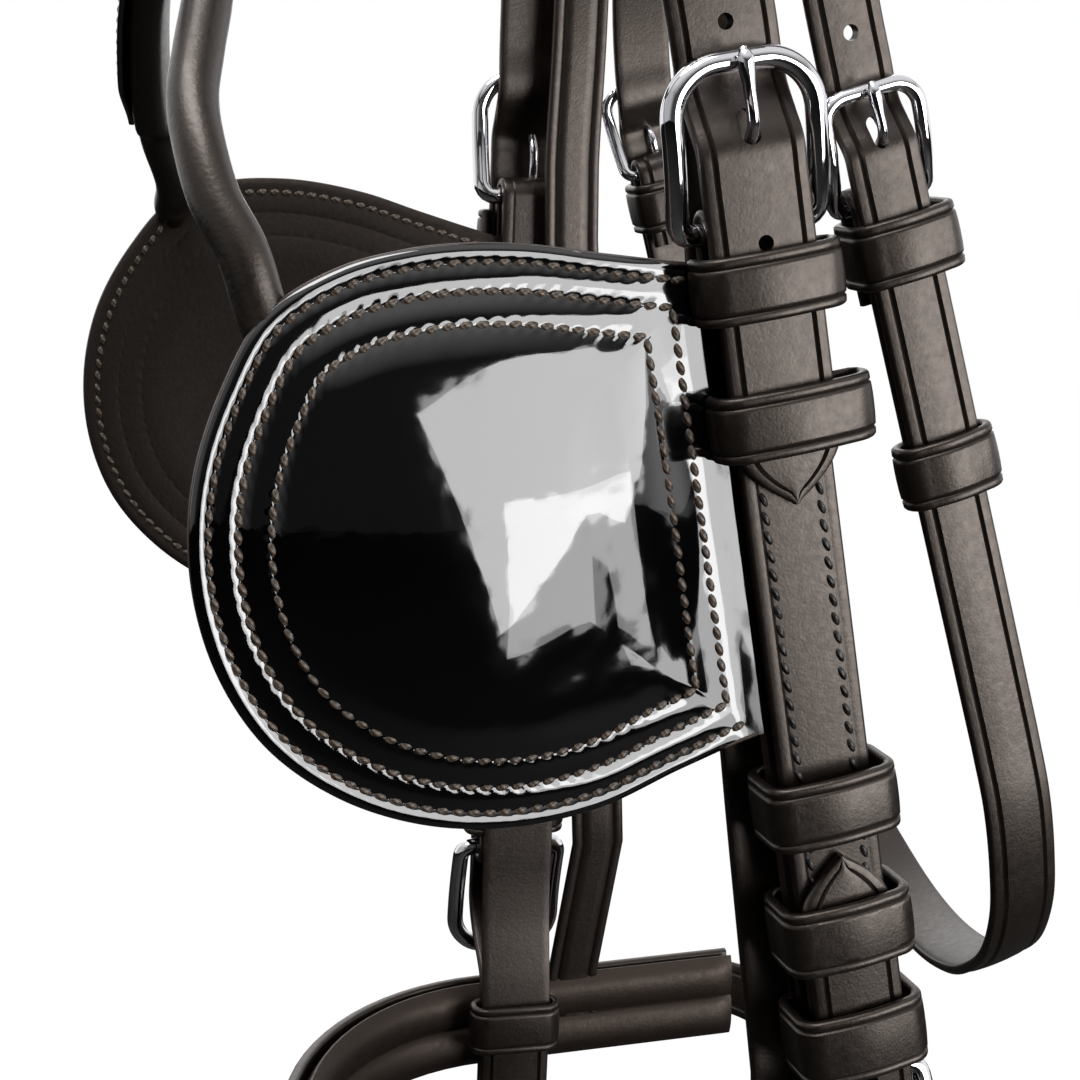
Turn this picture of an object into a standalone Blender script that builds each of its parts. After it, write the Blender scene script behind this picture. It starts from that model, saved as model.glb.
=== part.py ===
"""Driving bridle with patent blinkers, hanging from its poll as it does on a bridle hook.

Frame: metres, +X to the horse's left (the near side), -Y where the horse faces, +Z up.
Origin: middle of the underside of the crown pad, the place that lies on the poll.
The near cheek and the far cheek are the same pattern, mirrored, and hang at their own lean.
"""
import math

import bmesh
import bpy
from mathutils import Matrix, Vector

MM = 0.001
NEAR, FAR = 1, -1
SIDE_NAMES = {NEAR: "near", FAR: "far"}

# Common values
CLEAR = 0.3 * MM                # gap between pieces that touch
EDGE_SHARE = 0.55               # how much of half a strap's thickness its edges are bevelled
CUT_OVERRUN = 2.0 * MM          # how far every cutter reaches past what it cuts
PUNCH_R = 1.6 * MM              # punched buckle holes
TONGUE_PLAY_DEG = 4.0           # what a tongue can lift before the strap's hole stops it

# Where the straps hang, in the bridle's frame
CHEEK_SPAN = 85.0 * MM          # middle plane to the cheek buckle bars
NEAR_CHEEK_Z = -192.7 * MM
FAR_CHEEK_Z = -193.5 * MM
CHEEK_BAR_Z = {NEAR: NEAR_CHEEK_Z, FAR: FAR_CHEEK_Z}
NEAR_CHEEK_Y = 1.0 * MM
FAR_CHEEK_Y = 5.0 * MM
CHEEK_BAR_Y = {NEAR: NEAR_CHEEK_Y, FAR: FAR_CHEEK_Y}
CHEEK_LEAN_DEG = {NEAR: 9.0, FAR: -2.33}
BILLET_LEAN_DEG = {NEAR: 12.0, FAR: -2.33}  # the crown's cheek billets above their buckles
THROAT_IN = 5.5 * MM            # how far the throatlatch buckles lie inside the cheeks'
THROAT_SPAN = CHEEK_SPAN - THROAT_IN
NEAR_THROAT_Z = -188.3 * MM
FAR_THROAT_Z = -186.0 * MM
THROAT_BAR_Z = {NEAR: NEAR_THROAT_Z, FAR: FAR_THROAT_Z}
NEAR_THROAT_Y = 31.3 * MM
FAR_THROAT_Y = 39.5 * MM
THROAT_BAR_Y = {NEAR: NEAR_THROAT_Y, FAR: FAR_THROAT_Y}
THROAT_LEAN_DEG = {NEAR: 15.5, FAR: 14.0}
THROAT_BILLET_DEG = {NEAR: 15.5, FAR: 2.5}  # the crown's throat billets above their buckles

# Crown
SEAT_IN = 7.5 * MM              # side of the arch under the pad, inside the cheek bars
SEAT_HALF = CHEEK_SPAN - SEAT_IN
SEAT_DROP = 62.0 * MM           # height of that arch
CROWN_POLL_W = 46.0 * MM
CROWN_EAR_W = 35.0 * MM
CROWN_END_W = 43.5 * MM
CROWN_T = 3.2 * MM
CROWN_END_Z = -80.0 * MM
BILLET_ROOT = 7.0 * MM          # length of billet that is one with the crown's end
PAD_W_SHARE = 1.0               # pad's width as a share of the crown's
PAD_T = 6.0 * MM
ARCH_STEP_DEG = 7.5             # every layer of the arch has its corners at the same angles
PAD_END_DEG = 15.0              # the pad stops this far above the arch's ends

# Cheeks
CHEEK_LENGTH = 184.5 * MM       # upper bar to lower bar
CHEEK_TURN = 26.0 * MM          # turned end behind each bar
SEAM_DEPTH = 4.5 * MM           # how far the blinker's edge reaches in under the strap
SEAM_HALF_T = 1.2 * MM
SEAM_PLAY = 1.1 * MM            # room for that edge as the blinker swings
TAB_T = 0.9 * MM                # skived end of the bridging keepers
KEEPER_T = 2.3 * MM
KEEPER_SIDE = 1.0 * MM          # billet's edge to keeper
KEEPER_TOP = (3.9 * MM, 31.0 * MM)          # upper edges of the two upper keepers, below the bar
KEEPER_BACK = (1.9 * MM, 4.8 * MM)          # their extra room behind the billet
KEEPER_H = 13.4 * MM
KEEPER_UP = (72.5 * MM, 44.9 * MM, 20.3 * MM)      # upper edges of the lower ones, above the lower bar
KEEPER_LOW = tuple(CHEEK_LENGTH - up for up in KEEPER_UP)
KEEPER_LOW_H = (14.3 * MM, 14.7 * MM, 15.3 * MM)
CHEEK_TIP = 54.7 * MM           # end of the billet below the upper bar
BIT_TIP = 54.4 * MM             # end of the bit strap's billet above the lower bar
TIP_L = 11.0 * MM
HOLE_STEP = 21.0 * MM

# Bit strap below the lower bar
BIT_IN = 10.0 * MM              # how far it hangs inside the line of the bars
BIT_HANG = 43.5 * MM            # by this far below the bar
# Its way under the frame's top and inside the noseband: shares of the way in and of the hang
BIT_DIP_SHARES = ((1.00, 0.42), (0.74, 0.59), (0.55, 0.66), (0.30, 0.74), (0.085, 0.83), (0.0, 0.91),
                  (0.0, 1.00))
BIT_LOOP_END = 104.0 * MM       # bottom of the loop below the bar
BIT_LOOP_R = 6.4 * MM
BIT_PLY_END = 53.0 * MM         # sewn end of the inner ply below the bar

# Blinkers
BLINKER_L = 109.5 * MM
BLINKER_H = 116.0 * MM
BLINKER_TOP = 7.9 * MM          # above the upper bar
FAR_DROP = 5.5 * MM             # the far one is sewn in a little lower
BLINKER_DROP = {NEAR: 0.0, FAR: FAR_DROP}
FLEX_LINE = 12.6 * MM           # hinge line in front of the cheek's middle
FLARE = 9.0 * MM                # how far the front stands out
BULGE = 5.5 * MM
COVER_T = 1.9 * MM
PLATE_T = 1.0 * MM
LINING_T = 1.5 * MM
EDGE_COVER_T = 1.6 * MM
EDGE_LINING_T = 1.3 * MM
PLATE_SHARE = 0.78              # plate's outline as a share of the blinker's
PLY_GAP = 0.5 * MM              # between the plate and the leather on it
DOME_CENTRE_SHARES = (0.50, 0.50)           # middle of the bulge, and how far it reaches
DOME_REACH_SHARES = (0.43, 0.46)
FLEX_FLAT = 8.5 * MM            # flat leather between the strap and the plate
# Outline from the top of the seam round the front to its foot: shares of length and height
BLINKER_OUTLINE_SHARES = (
    (-0.040, 0.114), (0.018, 0.112), (0.054, 0.103), (0.194, 0.065), (0.336, 0.025), (0.540, 0.000),
    (0.656, 0.008), (0.800, 0.061), (0.888, 0.159), (0.968, 0.303), (1.000, 0.482),
    (0.988, 0.595), (0.931, 0.737), (0.819, 0.859), (0.669, 0.947), (0.505, 0.992),
    (0.349, 0.999), (0.183, 0.972), (0.011, 0.950), (-0.040, 0.945),
)
STAY_CORNER_SHARES = (0.795, 0.058)         # where the rolled arm meets the outline

# Winker stay
ROLL_R = 4.3 * MM
ARM_FLAT_W = 15.0 * MM
ARM_FLAT_T = 3.0 * MM
ARM_ROLL_SHARE = {NEAR: 0.62, FAR: 0.30}    # share of each arm that is rolled
STAY_BAR = (0.0, -68.0 * MM, -66.0 * MM)
STAY_LENGTH = 52.0 * MM
STAY_LEAN_DEG = 27.5
STAY_TIP = 24.0 * MM
STAY_TURN = 18.0 * MM
ARM_START = 2.4 * MM            # from the blinker's edge to the arm's first ring
ARM_GAP = 2.4 * MM              # from the middle plane to the end of each arm
ARM_SPAN = 85.0 * MM            # span of the cheeks that the arms' way is drawn for
ARM_ROUTE = (                   # from the near blinker's corner to the middle of the brow
    (88.5 * MM, -98.6 * MM, -195.3 * MM), (84.0 * MM, -102.2 * MM, -186.4 * MM),
    (79.0 * MM, -104.0 * MM, -177.6 * MM), (72.0 * MM, -104.3 * MM, -168.6 * MM),
    (64.0 * MM, -103.5 * MM, -159.4 * MM), (55.0 * MM, -101.8 * MM, -149.8 * MM),
    (44.0 * MM, -99.5 * MM, -138.0 * MM), (30.0 * MM, -96.0 * MM, -124.5 * MM),
    (16.0 * MM, -92.4 * MM, -113.6 * MM),
)

# Browband
BROW_Z = -93.0 * MM
BROW_DIP = 7.0 * MM             # its middle hangs lower than its ends
BROW_W = 22.0 * MM
BROW_T = 2.4 * MM
BROW_LINING_T = 1.4 * MM
BROW_FRONT = 134.0 * MM
BROW_LOOP_T = 2.2 * MM
BROW_LOOP_ROOM = 1.2 * MM

# Noseband
NOSE_HANG = 53.6 * MM           # its middle below the ends of the cheeks
NOSE_Z = NEAR_CHEEK_Z - CHEEK_LENGTH - NOSE_HANG
NOSE_W = 25.0 * MM
NOSE_PAD_T = 6.5 * MM
NOSE_STRAP_T = 3.0 * MM
NOSE_IN = 6.0 * MM              # inner face of the padding, inside the cheek bars
NOSE_HALF = CHEEK_SPAN - NOSE_IN
NOSE_FRONT = 60.0 * MM          # depth of its oval front
NOSE_FORE = -12.0 * MM          # where the straight sides end
NOSE_REAR = 65.0 * MM
NOSE_PAD_REAR = 47.0 * MM       # padding stops here on the near side, clear of the buckle
NOSE_END_W = 16.0 * MM
NOSE_TURN = 15.0 * MM
NOSE_KEEPER_END = 12.6 * MM     # its keeper's far edge from the bar
POCKET_DEPTH = 17.0 * MM
POCKET_ROOM = 0.5 * MM
HEAD_W = 15.0 * MM
HEAD_T = 2.6 * MM
HEAD_TUCK = 10.0 * MM           # how far the hangers lie inside the cheek bars
HEAD_IN = CHEEK_SPAN - HEAD_TUCK
NEAR_HEAD_Y = (-2.0 * MM, 8.4 * MM, 16.9 * MM, 15.2 * MM)      # the hanger's middle at its marked heights
FAR_HEAD_Y = (12.5 * MM, 18.6 * MM, 20.8 * MM, 15.5 * MM)
HEAD_Y = {NEAR: NEAR_HEAD_Y, FAR: FAR_HEAD_Y}
HEAD_OVER_BAR = 7.7 * MM        # first marked height above the cheek bar, the others over the noseband
HEAD_MARKS = (128.8 * MM, 54.8 * MM, -2.2 * MM)
HEAD_Z = (NEAR_CHEEK_Z + HEAD_OVER_BAR,) + tuple(NOSE_Z + mark for mark in HEAD_MARKS)
HEAD_TOP_Z = -62.0 * MM         # where it lies against the crown
HEAD_SLOPE_SHARES = (0.06, 0.32, 0.80)      # how far out it is on its way up to the crown
NOSE_LOOP_H = 14.0 * MM
NOSE_LOOP_T = 2.0 * MM
CHIN_SPAN = 79.0 * MM           # half width of the noseband that the chin strap's way is drawn for
CHIN_ROUTE = (                  # from its far end round behind the jaw, heights over its middle
    (-90.8 * MM, 36.0 * MM, 0.0), (-90.8 * MM, 52.0 * MM, -0.2 * MM),
    (-90.8 * MM, 67.0 * MM, -1.5 * MM), (-85.0 * MM, 78.5 * MM, -6.5 * MM),
    (-68.0 * MM, 87.0 * MM, -14.5 * MM), (-40.0 * MM, 95.0 * MM, -21.5 * MM),
    (0.0, 103.5 * MM, -24.5 * MM), (38.0 * MM, 110.5 * MM, -20.5 * MM),
    (64.0 * MM, 112.5 * MM, -11.5 * MM), (78.0 * MM, 108.5 * MM, -4.5 * MM),
)

# Throatlatch: its free part between the two straight ends, drawn for buckles this far out
THROAT_DRAWN = 79.5 * MM
THROAT_ROUTE = (
    (82.6 * MM, 66.4 * MM, -316.4 * MM), (81.0 * MM, 69.3 * MM, -330.9 * MM),
    (78.3 * MM, 71.3 * MM, -342.0 * MM), (72.0 * MM, 73.0 * MM, -353.2 * MM),
    (58.0 * MM, 75.4 * MM, -363.6 * MM), (38.0 * MM, 79.2 * MM, -371.3 * MM),
    (15.0 * MM, 82.6 * MM, -374.8 * MM), (-8.0 * MM, 85.1 * MM, -373.3 * MM),
    (-30.0 * MM, 85.6 * MM, -366.0 * MM), (-52.0 * MM, 82.0 * MM, -350.0 * MM),
    (-70.0 * MM, 75.0 * MM, -325.0 * MM), (-79.0 * MM, 66.0 * MM, -292.0 * MM),
)
NEAR_STRAIGHT = 118.0 * MM
FAR_STRAIGHT = 84.0 * MM
THROAT_STRAIGHT = {NEAR: NEAR_STRAIGHT, FAR: FAR_STRAIGHT}
THROAT_TURN = 20.0 * MM
THROAT_TIP = 60.0 * MM
THROAT_KEEPER_TOP = 2.6 * MM
THROAT_KEEPER_H = 13.4 * MM
RUNNER_TOP = 49.0 * MM
RUNNER_H = 13.4 * MM
THROAT_KEEPER_T = 2.0 * MM
THROAT_KEEPER_ROOM = 1.6 * MM   # billet's edge to the fixed keeper
THROAT_KEEPER_OFF = 1.4 * MM    # that keeper's middle behind the strap's
RUNNER_SIDE = 1.1 * MM          # billet's edge to the runner

# Buckles: width and thickness of their straps, wire, bar, height, side room and tongue
CHEEK_STRAP_W = 20.0 * MM
CHEEK_STRAP_T = 2.6 * MM
CHEEK_BILLET_W = 22.0 * MM
CHEEK_BILLET_T = 2.8 * MM
CHEEK_WIRE_R = 2.3 * MM
CHEEK_BAR_R = 2.0 * MM
CHEEK_BUCKLE_H = 34.2 * MM
CHEEK_ROOM = 1.4 * MM
CHEEK_TONGUE_R = 1.6 * MM
BIT_W = 20.0 * MM
BIT_T = 2.6 * MM
BIT_ROOM = 2.0 * MM
THROAT_W = 15.6 * MM
THROAT_T = 2.4 * MM
THROAT_WIRE_R = 1.6 * MM
THROAT_BAR_R = 1.5 * MM
THROAT_BUCKLE_H = 24.0 * MM
THROAT_ROOM = 0.8 * MM
THROAT_TONGUE_R = 1.3 * MM
STAY_W = 14.0 * MM
STAY_T = 2.2 * MM
STAY_WIRE_R = 1.5 * MM
STAY_BAR_R = 1.4 * MM
STAY_BUCKLE_H = 22.5 * MM
STAY_ROOM = 1.0 * MM
STAY_TONGUE_R = 1.2 * MM
NOSE_END_T = 2.6 * MM
CHIN_T = 2.4 * MM
NOSE_WIRE_R = 1.7 * MM
NOSE_BAR_R = 1.5 * MM
NOSE_BUCKLE_H = 26.5 * MM
NOSE_ROOM = 1.0 * MM
NOSE_TONGUE_R = 1.3 * MM


class Buckle:
    """Sizes of one buckle with the strap that turns round its bar and the billet it holds."""

    def __init__(self, strap_w, strap_t, billet_w, billet_t, wire_r, bar_r, height, side, tongue_r,
                 corner_share):
        self.strap_w = strap_w
        self.strap_t = strap_t
        self.billet_w = billet_w
        self.billet_t = billet_t
        self.wire_r = wire_r
        self.bar_r = bar_r
        self.height = height
        self.half_inner = billet_w / 2 + side
        self.corner = corner_share * (self.half_inner + wire_r)
        self.tongue_r = tongue_r
        self.turn_x = bar_r + CLEAR + strap_t / 2
        self.billet_x = bar_r + CLEAR + strap_t + CLEAR + billet_t / 2
        self.strap_face = self.turn_x + strap_t / 2
        self.billet_face = self.billet_x + billet_t / 2
        self.rise = self.billet_face - wire_r
        self.top_z = height - wire_r
        self.tongue_x = self.billet_face + CLEAR + tongue_r
        self.wrap_half = min(0.5 * tongue_r, 0.5 * bar_r)
        self.wrap_r = bar_r + CLEAR + self.wrap_half
        self.under_x = self.top_x_under()

    def top_x_under(self):
        """Middle of the billet where it passes under the frame's top."""
        return self.rise - self.wire_r - CLEAR - self.billet_t / 2 - CLEAR


CHEEK_BUCKLE = Buckle(CHEEK_STRAP_W, CHEEK_STRAP_T, CHEEK_BILLET_W, CHEEK_BILLET_T, CHEEK_WIRE_R,
                      CHEEK_BAR_R, CHEEK_BUCKLE_H, CHEEK_ROOM, CHEEK_TONGUE_R, 0.70)
BIT_BUCKLE = Buckle(CHEEK_STRAP_W, CHEEK_STRAP_T, BIT_W, BIT_T, CHEEK_WIRE_R,
                    CHEEK_BAR_R, CHEEK_BUCKLE_H, BIT_ROOM, CHEEK_TONGUE_R, 0.60)
THROAT_BUCKLE = Buckle(THROAT_W, THROAT_T, THROAT_W, THROAT_T, THROAT_WIRE_R,
                       THROAT_BAR_R, THROAT_BUCKLE_H, THROAT_ROOM, THROAT_TONGUE_R, 0.50)
STAY_BUCKLE = Buckle(STAY_W, STAY_T, STAY_W, STAY_T, STAY_WIRE_R,
                     STAY_BAR_R, STAY_BUCKLE_H, STAY_ROOM, STAY_TONGUE_R, 0.45)
NOSE_BUCKLE = Buckle(NOSE_END_W, NOSE_END_T, NOSE_END_W, CHIN_T, NOSE_WIRE_R,
                     NOSE_BAR_R, NOSE_BUCKLE_H, NOSE_ROOM, NOSE_TONGUE_R, 0.45)

# Shares along a tongue's height: where it leaves the bar, dives through the billet and comes out
TONGUE_SHARES = (0.10, 0.40, 0.64, 0.82)
# Where the billet starts to dip and where it has dipped, as shares of the frame's height
DIP_SHARES = (0.50, 0.66, 0.82)
RISE_SHARE = 0.80               # the frame's legs have risen clear of the billet by this height
FOOT_SHARE = 0.22               # radius of the frame's corners at the bar


def clear_scene():
    """Empty the scene that the script starts in."""
    for thing in list(bpy.data.objects):
        bpy.data.objects.remove(thing, do_unlink=True)


def material(name, colour, roughness, metallic=0.0):
    """One finish, as a Principled material."""
    made = bpy.data.materials.new(name)
    made.use_nodes = True
    shader = made.node_tree.nodes["Principled BSDF"]
    shader.inputs["Base Color"].default_value = (*colour, 1.0)
    shader.inputs["Roughness"].default_value = roughness
    shader.inputs["Metallic"].default_value = metallic
    made.diffuse_color = (*colour, 1.0)
    return made


def empty(name, location, matrix=None, parent=None):
    """A guide that a group of pieces is parented to."""
    guide = bpy.data.objects.new(name, None)
    bpy.context.collection.objects.link(guide)
    guide.parent = parent
    turn = matrix.to_euler() if matrix else (0.0, 0.0, 0.0)
    guide.location = location
    guide.rotation_euler = turn
    return guide


def add_object(name, mesh_tool, finish=None, parent=None, side=NEAR, smooth_deg=35.0):
    """Turn a bmesh into a named object, mirrored for the far side."""
    if side == FAR:
        bmesh.ops.scale(mesh_tool, vec=(-1, 1, 1), verts=mesh_tool.verts)
    bmesh.ops.recalc_face_normals(mesh_tool, faces=mesh_tool.faces)
    mesh = bpy.data.meshes.new(name)
    mesh_tool.to_mesh(mesh)
    mesh_tool.free()
    mesh.shade_smooth()
    mesh.set_sharp_from_angle(angle=math.radians(smooth_deg))
    made = bpy.data.objects.new(name, mesh)
    bpy.context.collection.objects.link(made)
    made.parent = parent
    if finish:
        mesh.materials.append(finish)
    return made


def hide_tool(tool):
    """Mark an object as a cutter or a shape that is joined into another."""
    tool.hide_render = True
    tool.display_type = 'WIRE'
    return tool


def boolean(target, tool, operation):
    """Cut or join one object with another."""
    step = target.modifiers.new(operation.title() + " " + tool.name, 'BOOLEAN')
    step.operation = operation
    step.object = tool


# Paths

def smooth_path(points, per_span):
    """A smooth curve through the given points, whatever their spacing."""
    points = [Vector(p) for p in points]
    gaps = [(b - a).length for a, b in zip(points, points[1:])]
    slopes = []
    for i, p in enumerate(points):
        if i == 0 or i == len(points) - 1:
            j = min(i, len(gaps) - 1)
            slopes.append((points[j + 1] - points[j]) / gaps[j])
        else:
            before, after = gaps[i - 1], gaps[i]
            back = (p - points[i - 1]) / before
            ahead = (points[i + 1] - p) / after
            slopes.append((back * after + ahead * before) / (before + after))
    curve = []
    for i, gap in enumerate(gaps):
        for k in range(per_span):
            t = k / per_span
            curve.append((2 * t ** 3 - 3 * t ** 2 + 1) * points[i]
                         + (t ** 3 - 2 * t ** 2 + t) * gap * slopes[i]
                         + (3 * t ** 2 - 2 * t ** 3) * points[i + 1]
                         + (t ** 3 - t ** 2) * gap * slopes[i + 1])
    curve.append(points[-1])
    return curve


def turn_arc(radius, start_deg, end_deg, steps, middle=(0.0, 0.0)):
    """Points (x, z) of an arc in a strap's side view."""
    arc = []
    for i in range(steps + 1):
        angle = math.radians(start_deg + (end_deg - start_deg) * i / steps)
        arc.append((middle[0] + radius * math.cos(angle), middle[1] + radius * math.sin(angle)))
    return arc


def side_view(points, y=0.0):
    """Lift (x, z) points of a side view into the strap's middle plane."""
    return [Vector((x, y, z)) for x, z in points]


def tangents(path, closed=False):
    """Direction of a path at each of its points."""
    count = len(path)
    found = []
    for i in range(count):
        if closed:
            ahead, behind = path[(i + 1) % count], path[i - 1]
        else:
            ahead, behind = path[min(i + 1, count - 1)], path[max(i - 1, 0)]
        found.append((ahead - behind).normalized())
    return found


def lengths(path):
    """Distance along a path to each of its points."""
    run = [0.0]
    for a, b in zip(path, path[1:]):
        run.append(run[-1] + (b - a).length)
    return run


def cut_at(path, distance_from_end):
    """Add a point to a path at a distance from its end."""
    run = lengths(path)
    target = run[-1] - distance_from_end
    for i in range(1, len(path)):
        if run[i] > target + CLEAR:
            if target - run[i - 1] > CLEAR:
                share = (target - run[i - 1]) / (run[i] - run[i - 1])
                path.insert(i, path[i - 1].lerp(path[i], share))
            return path
    return path


# Solids

def loft(rings, closed=False):
    """A closed solid through rings of points."""
    bm = bmesh.new()
    made = [[bm.verts.new(p) for p in ring] for ring in rings]
    size = len(made[0])
    pairs = list(zip(made, made[1:]))
    if closed:
        pairs.append((made[-1], made[0]))
    for a, b in pairs:
        for i in range(size):
            j = (i + 1) % size
            bm.faces.new((a[i], a[j], b[j], b[i]))
    if not closed:
        bm.faces.new(made[0])
        bm.faces.new(made[-1])
    return bm


def strap_ring(centre, across, face, half_w, half_t):
    """Eight points round a strap with bevelled edges."""
    bevel = min(EDGE_SHARE * half_t, 0.45 * half_w)
    flat_w = half_w - bevel
    flat_t = half_t - bevel
    plan = ((flat_w, half_t), (half_w, flat_t), (half_w, -flat_t), (flat_w, -half_t),
            (-flat_w, -half_t), (-half_w, -flat_t), (-half_w, flat_t), (-flat_w, half_t))
    return [centre + across * a + face * b for a, b in plan]


def strap(path, across, half_w, half_t, tip=0.0, level=False):
    """A strap along a path. Widths, thicknesses and the direction across may change along it.

    A level strap is cut along y at each point, so that layers over one arch lie parallel.
    """
    path = [Vector(p) for p in path]
    if tip:
        for share in (1.0, 0.62, 0.28):
            cut_at(path, tip * share)
    run = lengths(path)
    rings = []
    for centre, heading, here in zip(path, tangents(path), run):
        share = here / run[-1]
        side = Vector(across(share) if callable(across) else across)
        if level:
            heading = Vector((heading.x, 0.0, heading.z)).normalized()
        side = (side - heading * side.dot(heading)).normalized()
        face = side.cross(heading)
        wide = half_w(share) if callable(half_w) else half_w
        thick = half_t(share) if callable(half_t) else half_t
        left = run[-1] - here
        if tip and left < tip:
            wide *= 0.10 + 0.90 * (left / tip) ** 0.9
        rings.append(strap_ring(centre, side, face, wide, thick))
    return loft(rings)


def wire_ring(centre, a, b, count):
    """Points round a wire, along two half axes."""
    turn = 2 * math.pi / count
    return [centre + a * math.cos(turn * i) + b * math.sin(turn * i) for i in range(count)]


def wire(path, radius, across, sides=8, closed=False):
    """A wire along a path. The radius may be a list of (along, across) pairs."""
    path = [Vector(p) for p in path]
    rings = []
    for i, (centre, heading) in enumerate(zip(path, tangents(path, closed))):
        side = Vector(across)
        side = (side - heading * side.dot(heading)).normalized()
        face = side.cross(heading)
        flat, wide = radius[i] if isinstance(radius, list) else (radius, radius)
        rings.append(wire_ring(centre, side * wide, face * flat, sides))
    return loft(rings, closed)


def drawn_out(route, span, drawn_span):
    """A route drawn for one span of the head, its sides moved out or in to another."""
    wider = span - drawn_span
    return [Vector((x + wider * max(-1.0, min(1.0, x / drawn_span)), y, z)) for x, y, z in route]


def box(low, high):
    """A plain box, for cutters."""
    bm = bmesh.new()
    size = [b - a for a, b in zip(low, high)]
    middle = [(a + b) / 2 for a, b in zip(low, high)]
    place = Matrix.Translation(middle) @ Matrix.Diagonal((*size, 1.0))
    bmesh.ops.create_cube(bm, size=1.0, matrix=place)
    return bm


def loop_ring(half_w, low_x, high_x, wall, bottom, top, corner, centre_y=0.0, steps=3):
    """A keeper that closes round a strap: a rounded tube, its hole along z."""
    def outline(grow, radius):
        points = []
        corners = ((high_x + grow, centre_y + half_w + grow, 0), (low_x - grow, centre_y + half_w + grow, 90),
                   (low_x - grow, centre_y - half_w - grow, 180), (high_x + grow, centre_y - half_w - grow, 270))
        for x, y, start in corners:
            inward_x = -radius if x > (low_x + high_x) / 2 else radius
            inward_y = -radius if y > centre_y else radius
            for i in range(steps + 1):
                angle = math.radians(start + 90 * i / steps)
                points.append((x + inward_x + radius * math.cos(angle),
                               y + inward_y + radius * math.sin(angle)))
        return points
    inner = outline(0.0, corner)
    outer = outline(wall, corner + wall)
    soft = wall * 0.3
    soft_outer = outline(wall - soft, corner + wall - soft)
    rings = []
    for plan, z in ((inner, bottom), (soft_outer, bottom), (outer, bottom + soft),
                    (outer, top - soft), (soft_outer, top), (inner, top)):
        rings.append([Vector((x, y, z)) for x, y in plan])
    return loft(rings, closed=True)


# Buckles

def frame_wire(sizes):
    """The buckle's frame: bar, legs that rise outward, and rounded top."""
    half = sizes.half_inner + sizes.wire_r
    top = sizes.top_z
    foot = FOOT_SHARE * half
    corner = sizes.corner
    plan = [(-sizes.half_inner + sizes.wire_r, 0.0), (sizes.half_inner - sizes.wire_r, 0.0)]
    bar_count = len(plan)
    plan += turn_arc(foot, -90, 0, 2, (half - foot, foot))
    plan += turn_arc(corner, 0, 90, 5, (half - corner, top - corner))
    plan += turn_arc(corner, 90, 180, 5, (-half + corner, top - corner))
    plan += turn_arc(foot, 180, 270, 2, (-half + foot, foot))
    path = []
    radii = []
    for i, (y, z) in enumerate(plan):
        lift = math.sin(math.pi / 2 * min(1.0, z / (RISE_SHARE * top)))
        path.append(Vector((sizes.rise * lift, y, z)))
        r = sizes.bar_r if i < bar_count else sizes.wire_r
        radii.append((r, r))
    return wire(path, radii, Vector((top, 0.0, -sizes.rise)).normalized(), sides=8, closed=True)


def tongue_path(sizes):
    """Middle line of the tongue: once round the bar, then through the billet and over the top."""
    leave, dive, out, over = TONGUE_SHARES
    tall = sizes.top_z
    wrap = turn_arc(sizes.wrap_r, 90, 360, 8)
    shaft = [(sizes.wrap_r, leave * tall), (sizes.wrap_r, dive * tall),
             (sizes.tongue_x, out * tall), (sizes.tongue_x, over * tall),
             (sizes.tongue_x, tall), (sizes.tongue_x - 0.35 * sizes.tongue_r, tall + 0.8 * sizes.wire_r)]
    return wrap, shaft


def tongue_wire(sizes):
    """The tongue, wrapped round the bar and lying in the strap's hole."""
    wrap, shaft = tongue_path(sizes)
    r = sizes.tongue_r
    radii = [(sizes.wrap_half, r)] * len(wrap) + [(0.62 * r, r), (0.68 * r, r)] + [(r, r)] * 3
    radii.append((0.55 * r, 0.6 * r))
    return wire(side_view(wrap + shaft), radii, (0.0, 1.0, 0.0), sides=8)


def billet_dip(sizes):
    """Where the billet passes under the frame's top: (x, z) points, from below upward."""
    start, middle, end = DIP_SHARES
    tall = sizes.top_z
    return [(sizes.billet_x, start * tall),
            ((sizes.billet_x + sizes.under_x) / 2, middle * tall),
            (sizes.under_x, end * tall)]


def hull(points):
    """Corners of the smallest convex outline round flat points, in order."""
    points = sorted(points)
    halves = []
    for run in (points, reversed(points)):
        chain = []
        for p in run:
            while len(chain) > 1 and turn_side(chain[-2], chain[-1], p) <= 0:
                chain.pop()
            chain.append(p)
        halves += chain[:-1]
    return halves


def turn_side(a, b, c):
    """Above zero where the way from a over b to c turns left."""
    return (b[0] - a[0]) * (c[1] - a[1]) - (b[1] - a[1]) * (c[0] - a[0])


def tongue_slot(sizes):
    """Cutter for the hole that the tongue stands in, with room for its play."""
    leave, dive, out, over = TONGUE_SHARES
    tall = sizes.top_z
    low = Vector((sizes.wrap_r, dive * tall))
    high = Vector((sizes.tongue_x, out * tall))
    along = (high - low).normalized()
    face = Vector((-along.y, along.x))
    reach = sizes.tongue_r + CLEAR
    play = Matrix.Rotation(math.radians(-TONGUE_PLAY_DEG), 2)
    corners = []
    for point in (low - along * CUT_OVERRUN, high + along * CUT_OVERRUN):
        for corner in (point + face * reach, point - face * reach):
            corners += [tuple(corner), tuple(play @ corner)]
    outline = hull(corners)
    return loft([[Vector((x, y, z)) for x, z in outline] for y in (-reach, reach)])


def punch(bm, x, y, z, deep):
    """Add one round hole's cutter, across the strap's face."""
    place = Matrix.Translation((x, y, z)) @ Matrix.Rotation(math.radians(90), 4, 'Y')
    bmesh.ops.create_cone(bm, cap_ends=True, segments=10, radius1=PUNCH_R, radius2=PUNCH_R,
                          depth=deep, matrix=place)


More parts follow.
